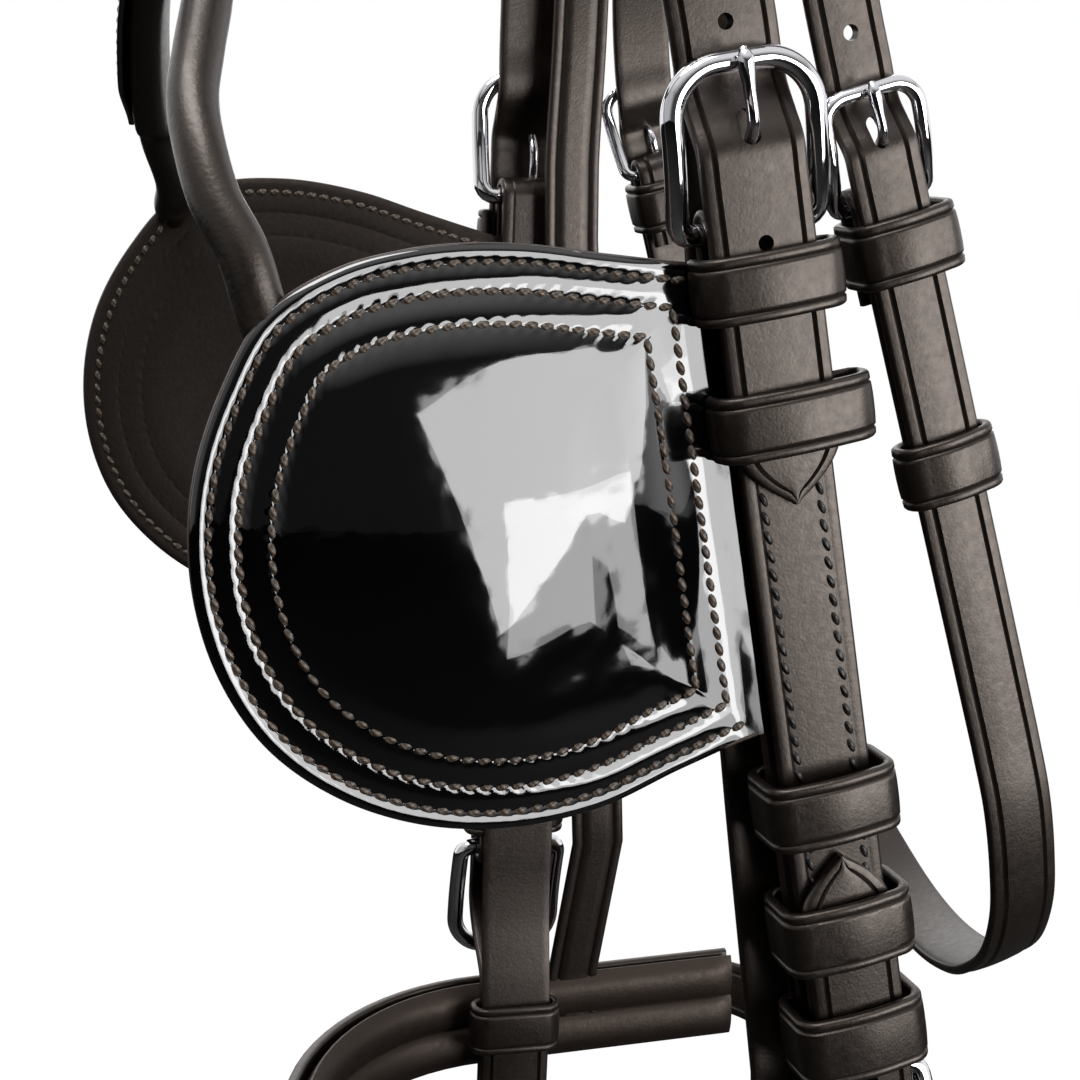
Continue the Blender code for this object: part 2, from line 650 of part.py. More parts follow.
def build_buckle(prefix, sizes, guide, side, chrome):
    """Frame and tongue of one buckle, parented to the guide on its bar."""
    add_object(prefix + "_buckle_frame", frame_wire(sizes), chrome, guide, side)
    add_object(prefix + "_buckle_tongue", tongue_wire(sizes), chrome, guide, side)


def cut_tongue_slot(target, name, sizes, guide, side):
    """Slot in a strap's turn for the tongue to go round the bar."""
    half = sizes.tongue_r + CUT_OVERRUN / 4
    deep = sizes.wrap_r + sizes.wrap_half + CLEAR
    reach = sizes.strap_face + CUT_OVERRUN
    tool = box((-reach, -half, -deep), (reach, half, reach))
    boolean(target, hide_tool(add_object(name, tool, None, guide, side)), 'DIFFERENCE')


# Crown, pad, noseband headstrap

def arch(offset, end_deg=0.0):
    """Points (x, z) of the arch over the poll, this far outside the pad's underside."""
    points = []
    steps = round((180 - 2 * end_deg) / ARCH_STEP_DEG)
    for i in range(steps + 1):
        angle = math.radians(end_deg + (180 - 2 * end_deg) * i / steps)
        points.append(((SEAT_HALF + offset) * math.cos(angle),
                       -SEAT_DROP + (SEAT_DROP + offset) * math.sin(angle)))
    return points


def crown_y(share):
    """The crown lies slightly askew, so that each end meets its own billets. Share of the way out."""
    middle = {side: (billet_y(side, CROWN_END_Z) + throat_y(side, CROWN_END_Z)) / 2 for side in (NEAR, FAR)}
    offset = (CHEEK_BUCKLE.billet_w - THROAT_BUCKLE.billet_w) / 4
    ends = {side: middle[side] - offset for side in (NEAR, FAR)}
    return (ends[NEAR] + ends[FAR]) / 2 * abs(share) + (ends[NEAR] - ends[FAR]) / 2 * share


def billet_y(side, z):
    """Middle of the cheek billet above its buckle, at a height of the bridle's frame."""
    return CHEEK_BAR_Y[side] - (z - CHEEK_BAR_Z[side]) * math.tan(math.radians(BILLET_LEAN_DEG[side]))


def throat_y(side, z):
    """Middle of the throat billet at a height of the bridle's frame."""
    return THROAT_BAR_Y[side] - (z - THROAT_BAR_Z[side]) * math.tan(math.radians(THROAT_BILLET_DEG[side]))


def crown_width(share):
    """Wide on the poll, drawn in behind the ears, then as wide as its two billets."""
    away = abs(2 * share - 1)
    if away < 0.5:
        blend = away / 0.5
        return (CROWN_POLL_W + (CROWN_EAR_W - CROWN_POLL_W) * blend ** 2 * (3 - 2 * blend)) / 2
    blend = (away - 0.5) / 0.5
    return (CROWN_EAR_W + (CROWN_END_W - CROWN_EAR_W) * blend ** 2 * (3 - 2 * blend)) / 2


def crown_path(offset, end_deg, drop):
    """Path over the poll, from the near end to the far one."""
    reach = SEAT_HALF + offset
    points = [Vector((x, crown_y(x / reach), z)) for x, z in arch(offset, end_deg)]
    if drop:
        for index, side in ((0, NEAR), (len(points) + 1, FAR)):
            points.insert(index, Vector((side * reach, crown_y(side), drop)))
    return points


def build_crown(guides, finishes):
    """Crown with its four billets cut from one hide, and the pad under it."""
    middle = PAD_T + CLEAR + HEAD_T + CLEAR + CROWN_T / 2
    path = crown_path(middle, 0.0, CROWN_END_Z)
    crown = add_object("crown_strap", strap(path, (0.0, 1.0, 0.0), crown_width, CROWN_T / 2, level=True),
                       finishes["leather"])
    end_x = SEAT_HALF + middle
    for side in (NEAR, FAR):
        name = SIDE_NAMES[side]
        for billet in (cheek_billet(side, end_x, guides), throat_billet(side, end_x, guides)):
            boolean(crown, hide_tool(billet), 'UNION')
    pad = crown_path(PAD_T / 2, PAD_END_DEG, 0.0)
    ends = lambda share: PAD_T / 2 * min(1.0, 0.45 + 4 * min(share, 1 - share))
    add_object("crown_pad", strap(pad, (0.0, 1.0, 0.0),
                                  lambda share: crown_width(share) * PAD_W_SHARE, ends, level=True),
               finishes["lining"])


def billet_shape(sizes, root, tip, guide, side, name, hole_zs):
    """One billet in its buckle's own frame, with its punched holes and tongue slot."""
    points = [root] + [root.lerp(Vector((sizes.under_x, 0.0, 1.25 * sizes.top_z)), 0.5)]
    points += [Vector((sizes.under_x, 0.0, 1.25 * sizes.top_z))]
    points += [Vector((x, 0.0, z)) for x, z in reversed(billet_dip(sizes))]
    points += [Vector((sizes.billet_x, 0.0, 0.3 * sizes.top_z)), Vector((sizes.billet_x, 0.0, -tip))]
    bend = root.y / (root.z - sizes.top_z)
    for p in points[1:3]:
        p.y = bend * max(0.0, p.z - sizes.top_z)
    smooth = smooth_path(points[:-1], 3) + [points[-1]]
    made = strap(smooth, (0.0, 1.0, 0.0), sizes.billet_w / 2, sizes.billet_t / 2, tip=TIP_L)
    billet = add_object(name, made, None, guide, side)
    tool = tongue_slot(sizes)
    deep = sizes.billet_t + 2 * CUT_OVERRUN
    for z in hole_zs:
        if z > sizes.top_z:
            share = (z - sizes.top_z) / (root.z - sizes.top_z)
            x = sizes.under_x + (root.x - sizes.under_x) * share
            punch(tool, x, bend * (z - sizes.top_z), z, deep)
        else:
            punch(tool, sizes.billet_x, 0.0, z, deep)
    boolean(billet, hide_tool(add_object(name + "_holes", tool, None, guide, side)), 'DIFFERENCE')
    return billet


def root_in_guide(bar, lean_deg, end_x, y):
    """A billet's root on the crown's end, in the frame of its buckle's bar, near-side handed."""
    offset = Vector((end_x, y, CROWN_END_Z + BILLET_ROOT)) - Vector(bar)
    return Matrix.Rotation(math.radians(-lean_deg), 3, 'X') @ offset


def cheek_billet(side, end_x, guides):
    """Billet of the crown that goes down through the upper cheek buckle."""
    sizes = CHEEK_BUCKLE
    y = billet_y(side, CROWN_END_Z + BILLET_ROOT)
    bar = (CHEEK_SPAN, CHEEK_BAR_Y[side], CHEEK_BAR_Z[side])
    root = root_in_guide(bar, CHEEK_LEAN_DEG[side], end_x, y)
    used = tongue_hole_z(sizes)
    zs = (used + HOLE_STEP, used + 2 * HOLE_STEP, used - HOLE_STEP)
    return billet_shape(sizes, root, CHEEK_TIP, guides[side]["upper"], side,
                        SIDE_NAMES[side] + "_cheek_billet", zs)


def throat_billet(side, end_x, guides):
    """Billet of the crown that goes down through the throatlatch buckle."""
    sizes = THROAT_BUCKLE
    y = throat_y(side, CROWN_END_Z + BILLET_ROOT)
    bar = (THROAT_SPAN, THROAT_BAR_Y[side], THROAT_BAR_Z[side])
    root = root_in_guide(bar, THROAT_LEAN_DEG[side], end_x, y)
    used = tongue_hole_z(sizes)
    zs = (used + HOLE_STEP, used - HOLE_STEP)
    return billet_shape(sizes, root, THROAT_TIP, guides[side]["throat"], side,
                        SIDE_NAMES[side] + "_throat_billet", zs)


def tongue_hole_z(sizes):
    """Height at which the tongue comes out of the billet."""
    dive, out = TONGUE_SHARES[1:3]
    share = (sizes.billet_face - sizes.wrap_r) / (sizes.tongue_x - sizes.wrap_r)
    return (dive + (out - dive) * share) * sizes.top_z


def build_headstrap(finish):
    """Noseband's own headstrap: under the crown, and down inside both cheeks."""
    offset = PAD_T + CLEAR + HEAD_T / 2
    out_x = SEAT_HALF + offset
    pocket_x = nose_side_x(NOSE_PAD_T / 2)
    legs = []
    for side in (NEAR, FAR):
        y = dict(zip(HEAD_Z, HEAD_Y[side]))
        beside, middle, low, end = HEAD_Z
        under = NOSE_Z + NOSE_W / 2
        leg = [(pocket_x, y[end], end), (pocket_x, y[end], under - POCKET_DEPTH / 3),
               (pocket_x, y[end], under + CLEAR)]
        slope = [(HEAD_IN, y[low], low), (HEAD_IN, y[middle], middle), (HEAD_IN, y[beside], beside)]
        for k, share in enumerate(HEAD_SLOPE_SHARES, 1):
            at = k / (len(HEAD_SLOPE_SHARES) + 1)
            slope.append((HEAD_IN + (out_x - HEAD_IN) * share,
                          y[beside] + (crown_y(side) - y[beside]) * at,
                          beside + (HEAD_TOP_Z - beside) * at))
        legs.append([Vector((side * px, py, pz)) for px, py, pz in leg]
                    + smooth_path([(side * px, py, pz) for px, py, pz in slope], 2))
    over = crown_path(offset, 0.0, 0.0)
    path = legs[0] + over + list(reversed(legs[1]))
    add_object("noseband_headstrap", strap(path, (0.0, 1.0, 0.0), HEAD_W / 2, HEAD_T / 2, level=True),
               finish)


# Cheeks

def build_cheek(side, guides, finishes):
    """Doubled and stitched cheek strap with its two buckles and its keepers."""
    name = SIDE_NAMES[side]
    sizes = CHEEK_BUCKLE
    upper = guides[side]["upper"]
    lower = guides[side]["lower"]
    x = sizes.turn_x
    path = [(-x, -CHEEK_TURN)]
    path += turn_arc(x, 180, 0, 8)
    path += turn_arc(x, 0, -180, 8, (0.0, -CHEEK_LENGTH))
    path += [(-x, -CHEEK_LENGTH + CHEEK_TURN)]
    made = add_object(name + "_cheek_strap",
                      strap(side_view(path), (0.0, 1.0, 0.0), sizes.strap_w / 2, sizes.strap_t / 2),
                      finishes["leather"], upper, side)
    cut_tongue_slot(made, name + "_upper_slot", sizes, upper, side)
    cut_tongue_slot(made, name + "_lower_slot", BIT_BUCKLE, lower, side)
    add_object(name + "_cheek_lining", cheek_lining(), finishes["edge"], upper, side)
    build_buckle(name + "_upper", sizes, upper, side, finishes["chrome"])
    build_buckle(name + "_lower", BIT_BUCKLE, lower, side, finishes["chrome"])
    inner_half = sizes.billet_w / 2 + KEEPER_SIDE
    high = sizes.billet_face + CLEAR
    for i, top in enumerate(KEEPER_TOP):
        add_object(f"{name}_cheek_keeper_{i + 1}", bridge_keeper(inner_half, high, top, KEEPER_BACK[i]),
                   finishes["leather"], upper, side)
    for i, top in enumerate(KEEPER_LOW):
        ring = loop_ring(inner_half, -sizes.strap_face - CLEAR, high, KEEPER_T,
                         -top - KEEPER_LOW_H[i], -top, CLEAR * 3)
        add_object(f"{name}_cheek_keeper_{i + 3}", ring, finishes["leather"], upper, side)


def cheek_lining():
    """Inner ply with the filler on it, stepped back where the blinker's edge is sewn in."""
    sizes = CHEEK_BUCKLE
    half = sizes.strap_w / 2
    inner = -sizes.strap_face
    floor = -sizes.turn_x + sizes.strap_t / 2
    fill = sizes.bar_r + CLEAR - 2 * CLEAR - TAB_T
    step = -half + SEAM_DEPTH + SEAM_PLAY
    fill_top = -(sizes.wrap_r + sizes.wrap_half + 2 * CLEAR)
    ply_top = -CHEEK_TURN - CLEAR
    low = -CHEEK_LENGTH
    plan = [(step, floor + CLEAR), (step, fill), (half - EDGE_SHARE * MM, fill), (half, fill - EDGE_SHARE * MM),
            (half, floor + CLEAR)]
    rings = []
    for z in (fill_top, ply_top, low - ply_top, low - fill_top):
        rings.append([Vector((x, y, z)) for y, x in plan])
    filler = loft(rings)
    ply = strap([(inner + sizes.strap_t / 2, 0.0, ply_top), (inner + sizes.strap_t / 2, 0.0, low - ply_top)],
                (0.0, 1.0, 0.0), half, sizes.strap_t / 2)
    return join_stepped(filler, ply, plan, half, inner, floor, fill_top, ply_top, low)


def join_stepped(filler, ply, plan, half, inner, floor, fill_top, ply_top, low):
    """One stepped solid in place of two that would touch: the filler, thickened over the ply."""
    filler.free()
    ply.free()
    thin = [(plan[0][0], floor + CLEAR), (plan[0][0], plan[1][1]), plan[2], plan[3], (half, floor + CLEAR)]
    thick = [(-half, inner), (-half, floor), (plan[0][0], floor), (plan[0][0], plan[1][1]),
             plan[2], plan[3], (half, inner)]
    end = [(plan[0][0], floor + CLEAR), (plan[0][0], floor + 2 * CLEAR), (plan[0][0], plan[1][1] - CLEAR),
           (plan[0][0], plan[1][1]), plan[2], plan[3], (half, floor + CLEAR)]
    levels = ((fill_top, end), (ply_top, end), (ply_top - CLEAR / 10, thick),
              (low - ply_top + CLEAR / 10, thick), (low - ply_top, end), (low - fill_top, end))
    return loft([[Vector((x, y, z)) for y, x in level] for z, level in levels])


def bridge_keeper(inner_half, high, top, back):
    """Upper keeper: over the billet, sewn in at the blinker and under the strap's back edge."""
    middle = inner_half + KEEPER_T / 2
    rear = middle + back
    lift = high + KEEPER_T / 2
    foot = SEAM_HALF_T + 2 * CLEAR
    sizes = CHEEK_BUCKLE
    tab = sizes.turn_x - sizes.strap_t / 2 - CLEAR / 2 - TAB_T / 2
    bend = KEEPER_T
    points = [(foot, -middle), (lift - bend, -middle), (lift - bend * 0.3, -middle + bend * 0.3),
              (lift, -middle + bend), (lift, rear - bend), (lift - bend * 0.3, rear - bend * 0.3),
              (lift - bend, rear), (tab + TAB_T, rear), (tab, rear - TAB_T),
              (tab, sizes.strap_w / 2 - SEAM_DEPTH)]
    z = -top - KEEPER_H / 2
    path = [Vector((x, y, z)) for x, y in points]
    run = lengths(path)
    skive = (run[6] + run[7]) / 2 / run[-1]
    thin = lambda share: KEEPER_T / 2 if share < skive else TAB_T / 2
    return strap(path, (0.0, 0.0, 1.0), KEEPER_H / 2, thin)


def build_bit_strap(side, guides, finishes):
    """Strap that holds the bit ring in its loop and buckles up under the lower keepers."""
    sizes = BIT_BUCKLE
    half_t = sizes.billet_t / 2
    out_x = -BIT_IN
    in_x = out_x - sizes.billet_t - CLEAR
    points = [(sizes.billet_x, -BIT_TIP), (sizes.billet_x, 0.3 * sizes.top_z)]
    points += [(out_x + (sizes.billet_x - out_x) * share, at * BIT_HANG) for share, at in BIT_DIP_SHARES]
    upper = [Vector((x, 0.0, z)) for x, z in points]
    drop = smooth_path(upper[1:], 2)
    centre_x = (out_x + in_x) / 2
    r = BIT_LOOP_R + half_t
    centre_z = BIT_LOOP_END - r
    low_z = centre_z - 2.2 * r
    loop = [(x, z) for x, z in turn_arc(r, -30, 210, 9, (centre_x, centre_z))]
    path = [upper[0]] + drop + [Vector((out_x, 0.0, low_z))]
    path += [Vector((out_x + 0.22 * r, 0.0, low_z + 0.8 * r))] + side_view(loop)
    path += [Vector((in_x - 0.22 * r, 0.0, low_z + 0.8 * r)), Vector((in_x, 0.0, low_z)),
             Vector((in_x, 0.0, BIT_PLY_END))]
    path.reverse()
    made = strap(path, (0.0, 1.0, 0.0), sizes.billet_w / 2, half_t, tip=TIP_L)
    # The lower guide is turned over, so its x is kept by turning the strap's x with it
    name = SIDE_NAMES[side]
    bit = add_object(name + "_bit_strap", made, finishes["leather"], guides[side]["lower"], side)
    tool = tongue_slot(sizes)
    punch(tool, sizes.billet_x, 0.0, tongue_hole_z(sizes) - HOLE_STEP, sizes.billet_t + 2 * CUT_OVERRUN)
    boolean(bit, hide_tool(add_object(name + "_bit_holes", tool, None, guides[side]["lower"], side)),
            'DIFFERENCE')
    keeper_x = (in_x - half_t - CLEAR, out_x + half_t + CLEAR)
    low = BIT_HANG
    ring = loop_ring(sizes.billet_w / 2 + KEEPER_SIDE, keeper_x[0], keeper_x[1], NOSE_LOOP_T,
                     low, low + NOSE_LOOP_H, CLEAR * 3)
    add_object(name + "_noseband_loop", ring, finishes["leather"], guides[side]["lower"], side)


# Blinkers

def blinker_point(share):
    """A share of length and height to (y, z) in the cheek's frame."""
    half = CHEEK_BUCKLE.strap_w / 2
    return Vector((-half - share[0] * BLINKER_L, BLINKER_TOP - share[1] * BLINKER_H))


def blinker_outline(per_span):
    """Closed outline: a smooth front, and the straight edge in the seam."""
    points = [blinker_point(share) for share in BLINKER_OUTLINE_SHARES]
    curve = points[:1] + smooth_path(points[1:-1], per_span)
    top, foot = points[0], points[-1]
    straight = [foot.lerp(top, i / 6) for i in range(6)]
    return curve + straight


def blinker_lean(y):
    """How far the blinker's middle surface stands out at a distance in front of the cheek."""
    start = FLEX_LINE + FLEX_FLAT / 2
    run = max(0.0, (-y - start) / (BLINKER_L - start))
    return FLARE * run


def blinker_rings(outline, shares, height, middle):
    """Rings of points over the blinker's surface, from its edge to its middle."""
    rings = []
    for share in shares:
        ring = []
        for p in outline:
            flat = middle.lerp(p, share)
            ring.append(Vector((height(flat, share), flat.x, flat.y)))
        rings.append(ring)
    return rings


def ply_solid(outline, shares, under, over):
    """A ply between two surfaces given as heights, closed at its edge and over its middle."""
    middle = sum(outline, Vector((0.0, 0.0))) / len(outline)
    bm = bmesh.new()
    sheets = []
    for height in (under, over):
        rings = blinker_rings(outline, shares, height, middle)
        sheet = [[bm.verts.new(p) for p in ring] for ring in rings]
        centre = bm.verts.new((height(middle, 0.0), middle.x, middle.y))
        sheets.append(sheet[0])
        for a, b in zip(sheet, sheet[1:]):
            for i in range(len(a)):
                j = (i + 1) % len(a)
                bm.faces.new((a[i], a[j], b[j]))
                bm.faces.new((a[i], b[j], b[i]))
        last = sheet[-1]
        for i in range(len(last)):
            bm.faces.new((last[i], last[(i + 1) % len(last)], centre))
    under_edge, over_edge = sheets
    for i in range(len(under_edge)):
        j = (i + 1) % len(under_edge)
        bm.faces.new((under_edge[i], over_edge[i], over_edge[j]))
        bm.faces.new((under_edge[i], over_edge[j], under_edge[j]))
    return bm


def fade(value, start, end):
    """0 before start, 1 after end, smooth between."""
    t = max(0.0, min(1.0, (value - start) / (end - start)))
    return t * t * (3 - 2 * t)


def blinker_heights():
    """Surface heights of the cover and the lining: (y, z) point and share of the way out."""
    half = CHEEK_BUCKLE.strap_w / 2

    centre = blinker_point(DOME_CENTRE_SHARES)
    reach = (DOME_REACH_SHARES[0] * BLINKER_L, DOME_REACH_SHARES[1] * BLINKER_H)

    def body(p):
        return fade(-p.x, half + FLEX_FLAT / 2, half + 2 * FLEX_FLAT)

    def dome(p):
        away = ((p.x - centre.x) / reach[0]) ** 2 + ((p.y - centre.y) / reach[1]) ** 2
        return BULGE * max(0.0, 1 - away) ** 1.5

    def mid(p):
        return blinker_lean(p.x) + dome(p)

    def apart(share):
        return (PLATE_T / 2 + PLY_GAP) * (1 - fade(share, PLATE_SHARE + 0.05, 0.94)) + CLEAR / 2

    def cover_in(p, share):
        return mid(p) + (apart(share) - CLEAR / 2) * body(p) + CLEAR / 2

    def cover_out(p, share):
        thick = EDGE_COVER_T + (COVER_T - EDGE_COVER_T) * (1 - fade(share, 0.8, 1.0))
        return cover_in(p, share) + thick * body(p) + (SEAM_HALF_T - CLEAR / 2) * (1 - body(p))

    def lining_out(p, share):
        return mid(p) - (apart(share) - CLEAR / 2) * body(p) - CLEAR / 2

    def lining_in(p, share):
        thick = EDGE_LINING_T + (LINING_T - EDGE_LINING_T) * (1 - fade(share, 0.8, 1.0))
        return lining_out(p, share) - thick * body(p) - (SEAM_HALF_T - CLEAR / 2) * (1 - body(p))

    return mid, cover_in, cover_out, lining_out, lining_in


def build_blinker(side, guides, finishes):
    """Patent cover, steel plate and lining of one blinker."""
    name = SIDE_NAMES[side]
    mid, cover_in, cover_out, lining_out, lining_in = blinker_heights()
    outline = blinker_outline(2)
    shares = (1.0, 0.94, 0.84, 0.6, 0.3)
    cover = ply_solid(outline, shares, cover_in, cover_out)
    lining = ply_solid(outline, shares, lining_in, lining_out)
    middle = sum(outline, Vector((0.0, 0.0))) / len(outline)
    edge = CHEEK_BUCKLE.strap_w / 2 + 2.3 * FLEX_FLAT
    plate_outline = []
    for p in outline:
        q = middle.lerp(p, PLATE_SHARE)
        plate_outline.append(Vector((min(q.x, -edge), q.y)))
    plate = ply_solid(plate_outline, (1.0, 0.75, 0.38),
                      lambda p, s: mid(p) - PLATE_T / 2, lambda p, s: mid(p) + PLATE_T / 2)
    for ply, made, finish in (("_cover", cover, "patent"), ("_plate", plate, "steel"),
                              ("_lining", lining, "lining")):
        bmesh.ops.translate(made, vec=(0.0, FLEX_LINE, 0.0), verts=made.verts)
        add_object(name + "_blinker" + ply, made, finishes[finish], guides[side]["flex"], side,
                   smooth_deg=50.0)


# Winker stay

def blinker_corner(side):
    """Where the rolled arm meets the blinker's edge, in the bridle's frame."""
    flat = blinker_point(STAY_CORNER_SHARES)
    local = Vector((blinker_lean(flat.x), flat.x, flat.y - BLINKER_DROP[side]))
    world = Matrix.Rotation(math.radians(CHEEK_LEAN_DEG[side]), 3, 'X') @ local
    return Vector((CHEEK_SPAN + world.x, CHEEK_BAR_Y[side] + world.y, CHEEK_BAR_Z[side] + world.z))


def stay_axes():
    """Outward and upward directions of the middle strap, which leans back to the crown."""
    lean = math.radians(STAY_LEAN_DEG)
    return Vector((0.0, -math.cos(lean), math.sin(lean))), Vector((0.0, math.sin(lean), math.cos(lean)))


def arm_path(side):
    """Middle line of one arm on the near side, started from the side's own blinker corner."""
    out, up = stay_axes()
    sizes = STAY_BUCKLE
    under = sizes.turn_x - sizes.strap_t / 2 - CLEAR - ARM_FLAT_T / 2
    end = Vector(STAY_BAR) - up * STAY_LENGTH + out * under
    corner = blinker_corner(side)
    shift = corner - blinker_corner(NEAR)
    route = []
    for i, p in enumerate(drawn_out(ARM_ROUTE, CHEEK_SPAN, ARM_SPAN)):
        route.append(p + shift * max(0.0, 1 - i / 6))
    start = corner + (route[0] - corner).normalized() * ARM_START
    return smooth_path([start] + route + [Vector((ARM_GAP, end.y, end.z))], 2)


def build_arm(side, finish):
    """One arm of the winker stay: rolled from the blinker, flat where it is sewn to the middle."""
    path = arm_path(side)
    run = lengths(path)
    up = stay_axes()[1]
    rings = []
    for p, heading, here in zip(path, tangents(path), run):
        share = here / run[-1]
        across = Vector((heading.z, 0.0, -heading.x)).normalized().lerp(up, fade(share, 0.6, 0.95))
        across = (across - heading * across.dot(heading)).normalized()
        face = across.cross(heading)
        flat = fade(share, ARM_ROLL_SHARE[side], ARM_ROLL_SHARE[side] + 0.16)
        squeeze = 1 - fade(share, 0.0, 0.05)
        wide = ROLL_R + (ARM_FLAT_W / 2 - ROLL_R) * flat
        thick = ROLL_R + (ARM_FLAT_T / 2 - ROLL_R) * max(flat, squeeze)
        rings.append(wire_ring(p, across * wide, face * thick, 10))
    return add_object(SIDE_NAMES[side] + "_stay_arm", loft(rings), finish, None, side)


def build_stay(guides, finishes):
    """Two rolled arms, the middle strap, and the small buckle up to the crown."""
    for side in (NEAR, FAR):
        build_arm(side, finishes["rolled"])
    guide = guides["stay"]
    sizes = STAY_BUCKLE
    path = [(-sizes.turn_x, -STAY_TURN)] + turn_arc(sizes.turn_x, 180, 0, 8)
    path += [(sizes.turn_x, -STAY_LENGTH / 2), (sizes.turn_x, -STAY_LENGTH - ARM_FLAT_W / 2)]
    made = add_object("stay_strap", strap(side_view(path), (0.0, 1.0, 0.0), sizes.strap_w / 2,
                                          sizes.strap_t / 2), finishes["leather"], guide)
    cut_tongue_slot(made, "stay_slot", sizes, guide, NEAR)
    build_buckle("stay", sizes, guide, NEAR, finishes["chrome"])
    build_stay_billet(guide, finishes)


def build_stay_billet(guide, finishes):
    """Billet sewn on top of the crown, down through the stay's buckle."""
    sizes = STAY_BUCKLE
    top = PAD_T + HEAD_T + CROWN_T + 3 * CLEAR + sizes.billet_t / 2
    front = CROWN_POLL_W / 2
    out, up = stay_axes()
    bar = Vector(STAY_BAR)
    local = [(sizes.billet_x, -STAY_TIP), (sizes.billet_x, 0.3 * sizes.top_z)] + billet_dip(sizes)
    local += [(sizes.under_x, 1.25 * sizes.top_z)]
    low = [bar + out * x + up * z for x, z in local]
    high = [Vector((0.0, -front - 16 * sizes.billet_t / 2.2, top * 0.35)),
            Vector((0.0, -front - sizes.billet_t, top - CLEAR)), Vector((0.0, -front * 0.55, top)),
            Vector((0.0, front * 0.2, top))]
    path = [low[0]] + smooth_path(low[1:] + high, 3)
    path.reverse()
    billet = add_object("stay_billet", strap(path, (1.0, 0.0, 0.0), sizes.billet_w / 2,
                                             sizes.billet_t / 2, tip=TIP_L * 0.7), finishes["leather"])
    tool = hide_tool(add_object("stay_billet_holes", tongue_slot(sizes), None, guide))
    boolean(billet, tool, 'DIFFERENCE')


# Browband

def brow_edges(side):
    """Front and back edge of the straps that the browband's loop goes round."""
    rows = (BROW_Z + BROW_W / 2, BROW_Z - BROW_W / 2)
    front = min(billet_y(side, z) for z in rows) - CHEEK_BUCKLE.billet_w / 2
    back = max(throat_y(side, z) for z in rows) + THROAT_BUCKLE.billet_w / 2
    return front - BROW_LOOP_ROOM, back + BROW_LOOP_ROOM


def build_browband(finishes):
    """Two loops round the crown's ends, and the bowed band with its lining."""
    middle = SEAT_HALF + PAD_T + 2 * CLEAR + HEAD_T + CROWN_T / 2
    inner_x = HEAD_IN + BROW_LOOP_ROOM * 2
    outer_x = middle + CROWN_T / 2 + BROW_LOOP_ROOM / 2
    face_x = outer_x + BROW_LOOP_T + CLEAR
    for side in (NEAR, FAR):
        front, back = brow_edges(side)
        ring = loop_ring((back - front) / 2, inner_x, outer_x, BROW_LOOP_T, BROW_Z - BROW_W / 2,
                         BROW_Z + BROW_W / 2, CLEAR * 3, centre_y=(front + back) / 2)
        add_object(SIDE_NAMES[side] + "_browband_loop", ring, finishes["leather"], None, side)
    for name, low, thick, finish in (("browband_lining", 0.0, BROW_LINING_T, "lining"),
                                     ("browband", BROW_LINING_T + CLEAR, BROW_T, "patent")):
        path = brow_path(face_x + low + thick / 2)
        add_object(name, strap(path, (0.0, 0.0, 1.0), BROW_W / 2, thick / 2), finishes[finish])


def brow_path(x):
    """The band's middle line: straight along each loop, then a deep bow in front."""
    ends = {}
    for side in (NEAR, FAR):
        front, back = brow_edges(side)
        ends[side] = (front, back)
    level = min(ends[NEAR][0], ends[FAR][0])
    path = [Vector((x, ends[NEAR][1], BROW_Z)), Vector((x, (ends[NEAR][0] + ends[NEAR][1]) / 2, BROW_Z))]
    deep = BROW_FRONT + level + (x - SEAT_HALF)
    for i in range(17):
        angle = math.pi * i / 16
        bow = math.sin(angle)
        path.append(Vector((x * math.cos(angle), level - deep * bow, BROW_Z - BROW_DIP * bow ** 2)))
    path += [Vector((-x, (ends[FAR][0] + ends[FAR][1]) / 2, BROW_Z)), Vector((-x, ends[FAR][1], BROW_Z))]
    return path


# Throatlatch

def throat_ring(room, middle, high, low, top, tall):
    """A keeper round the throatlatch strap and its billet."""
    return loop_ring(THROAT_BUCKLE.billet_w / 2 + room, low, high, THROAT_KEEPER_T, -top - tall, -top,
                     CLEAR * 2, centre_y=middle)


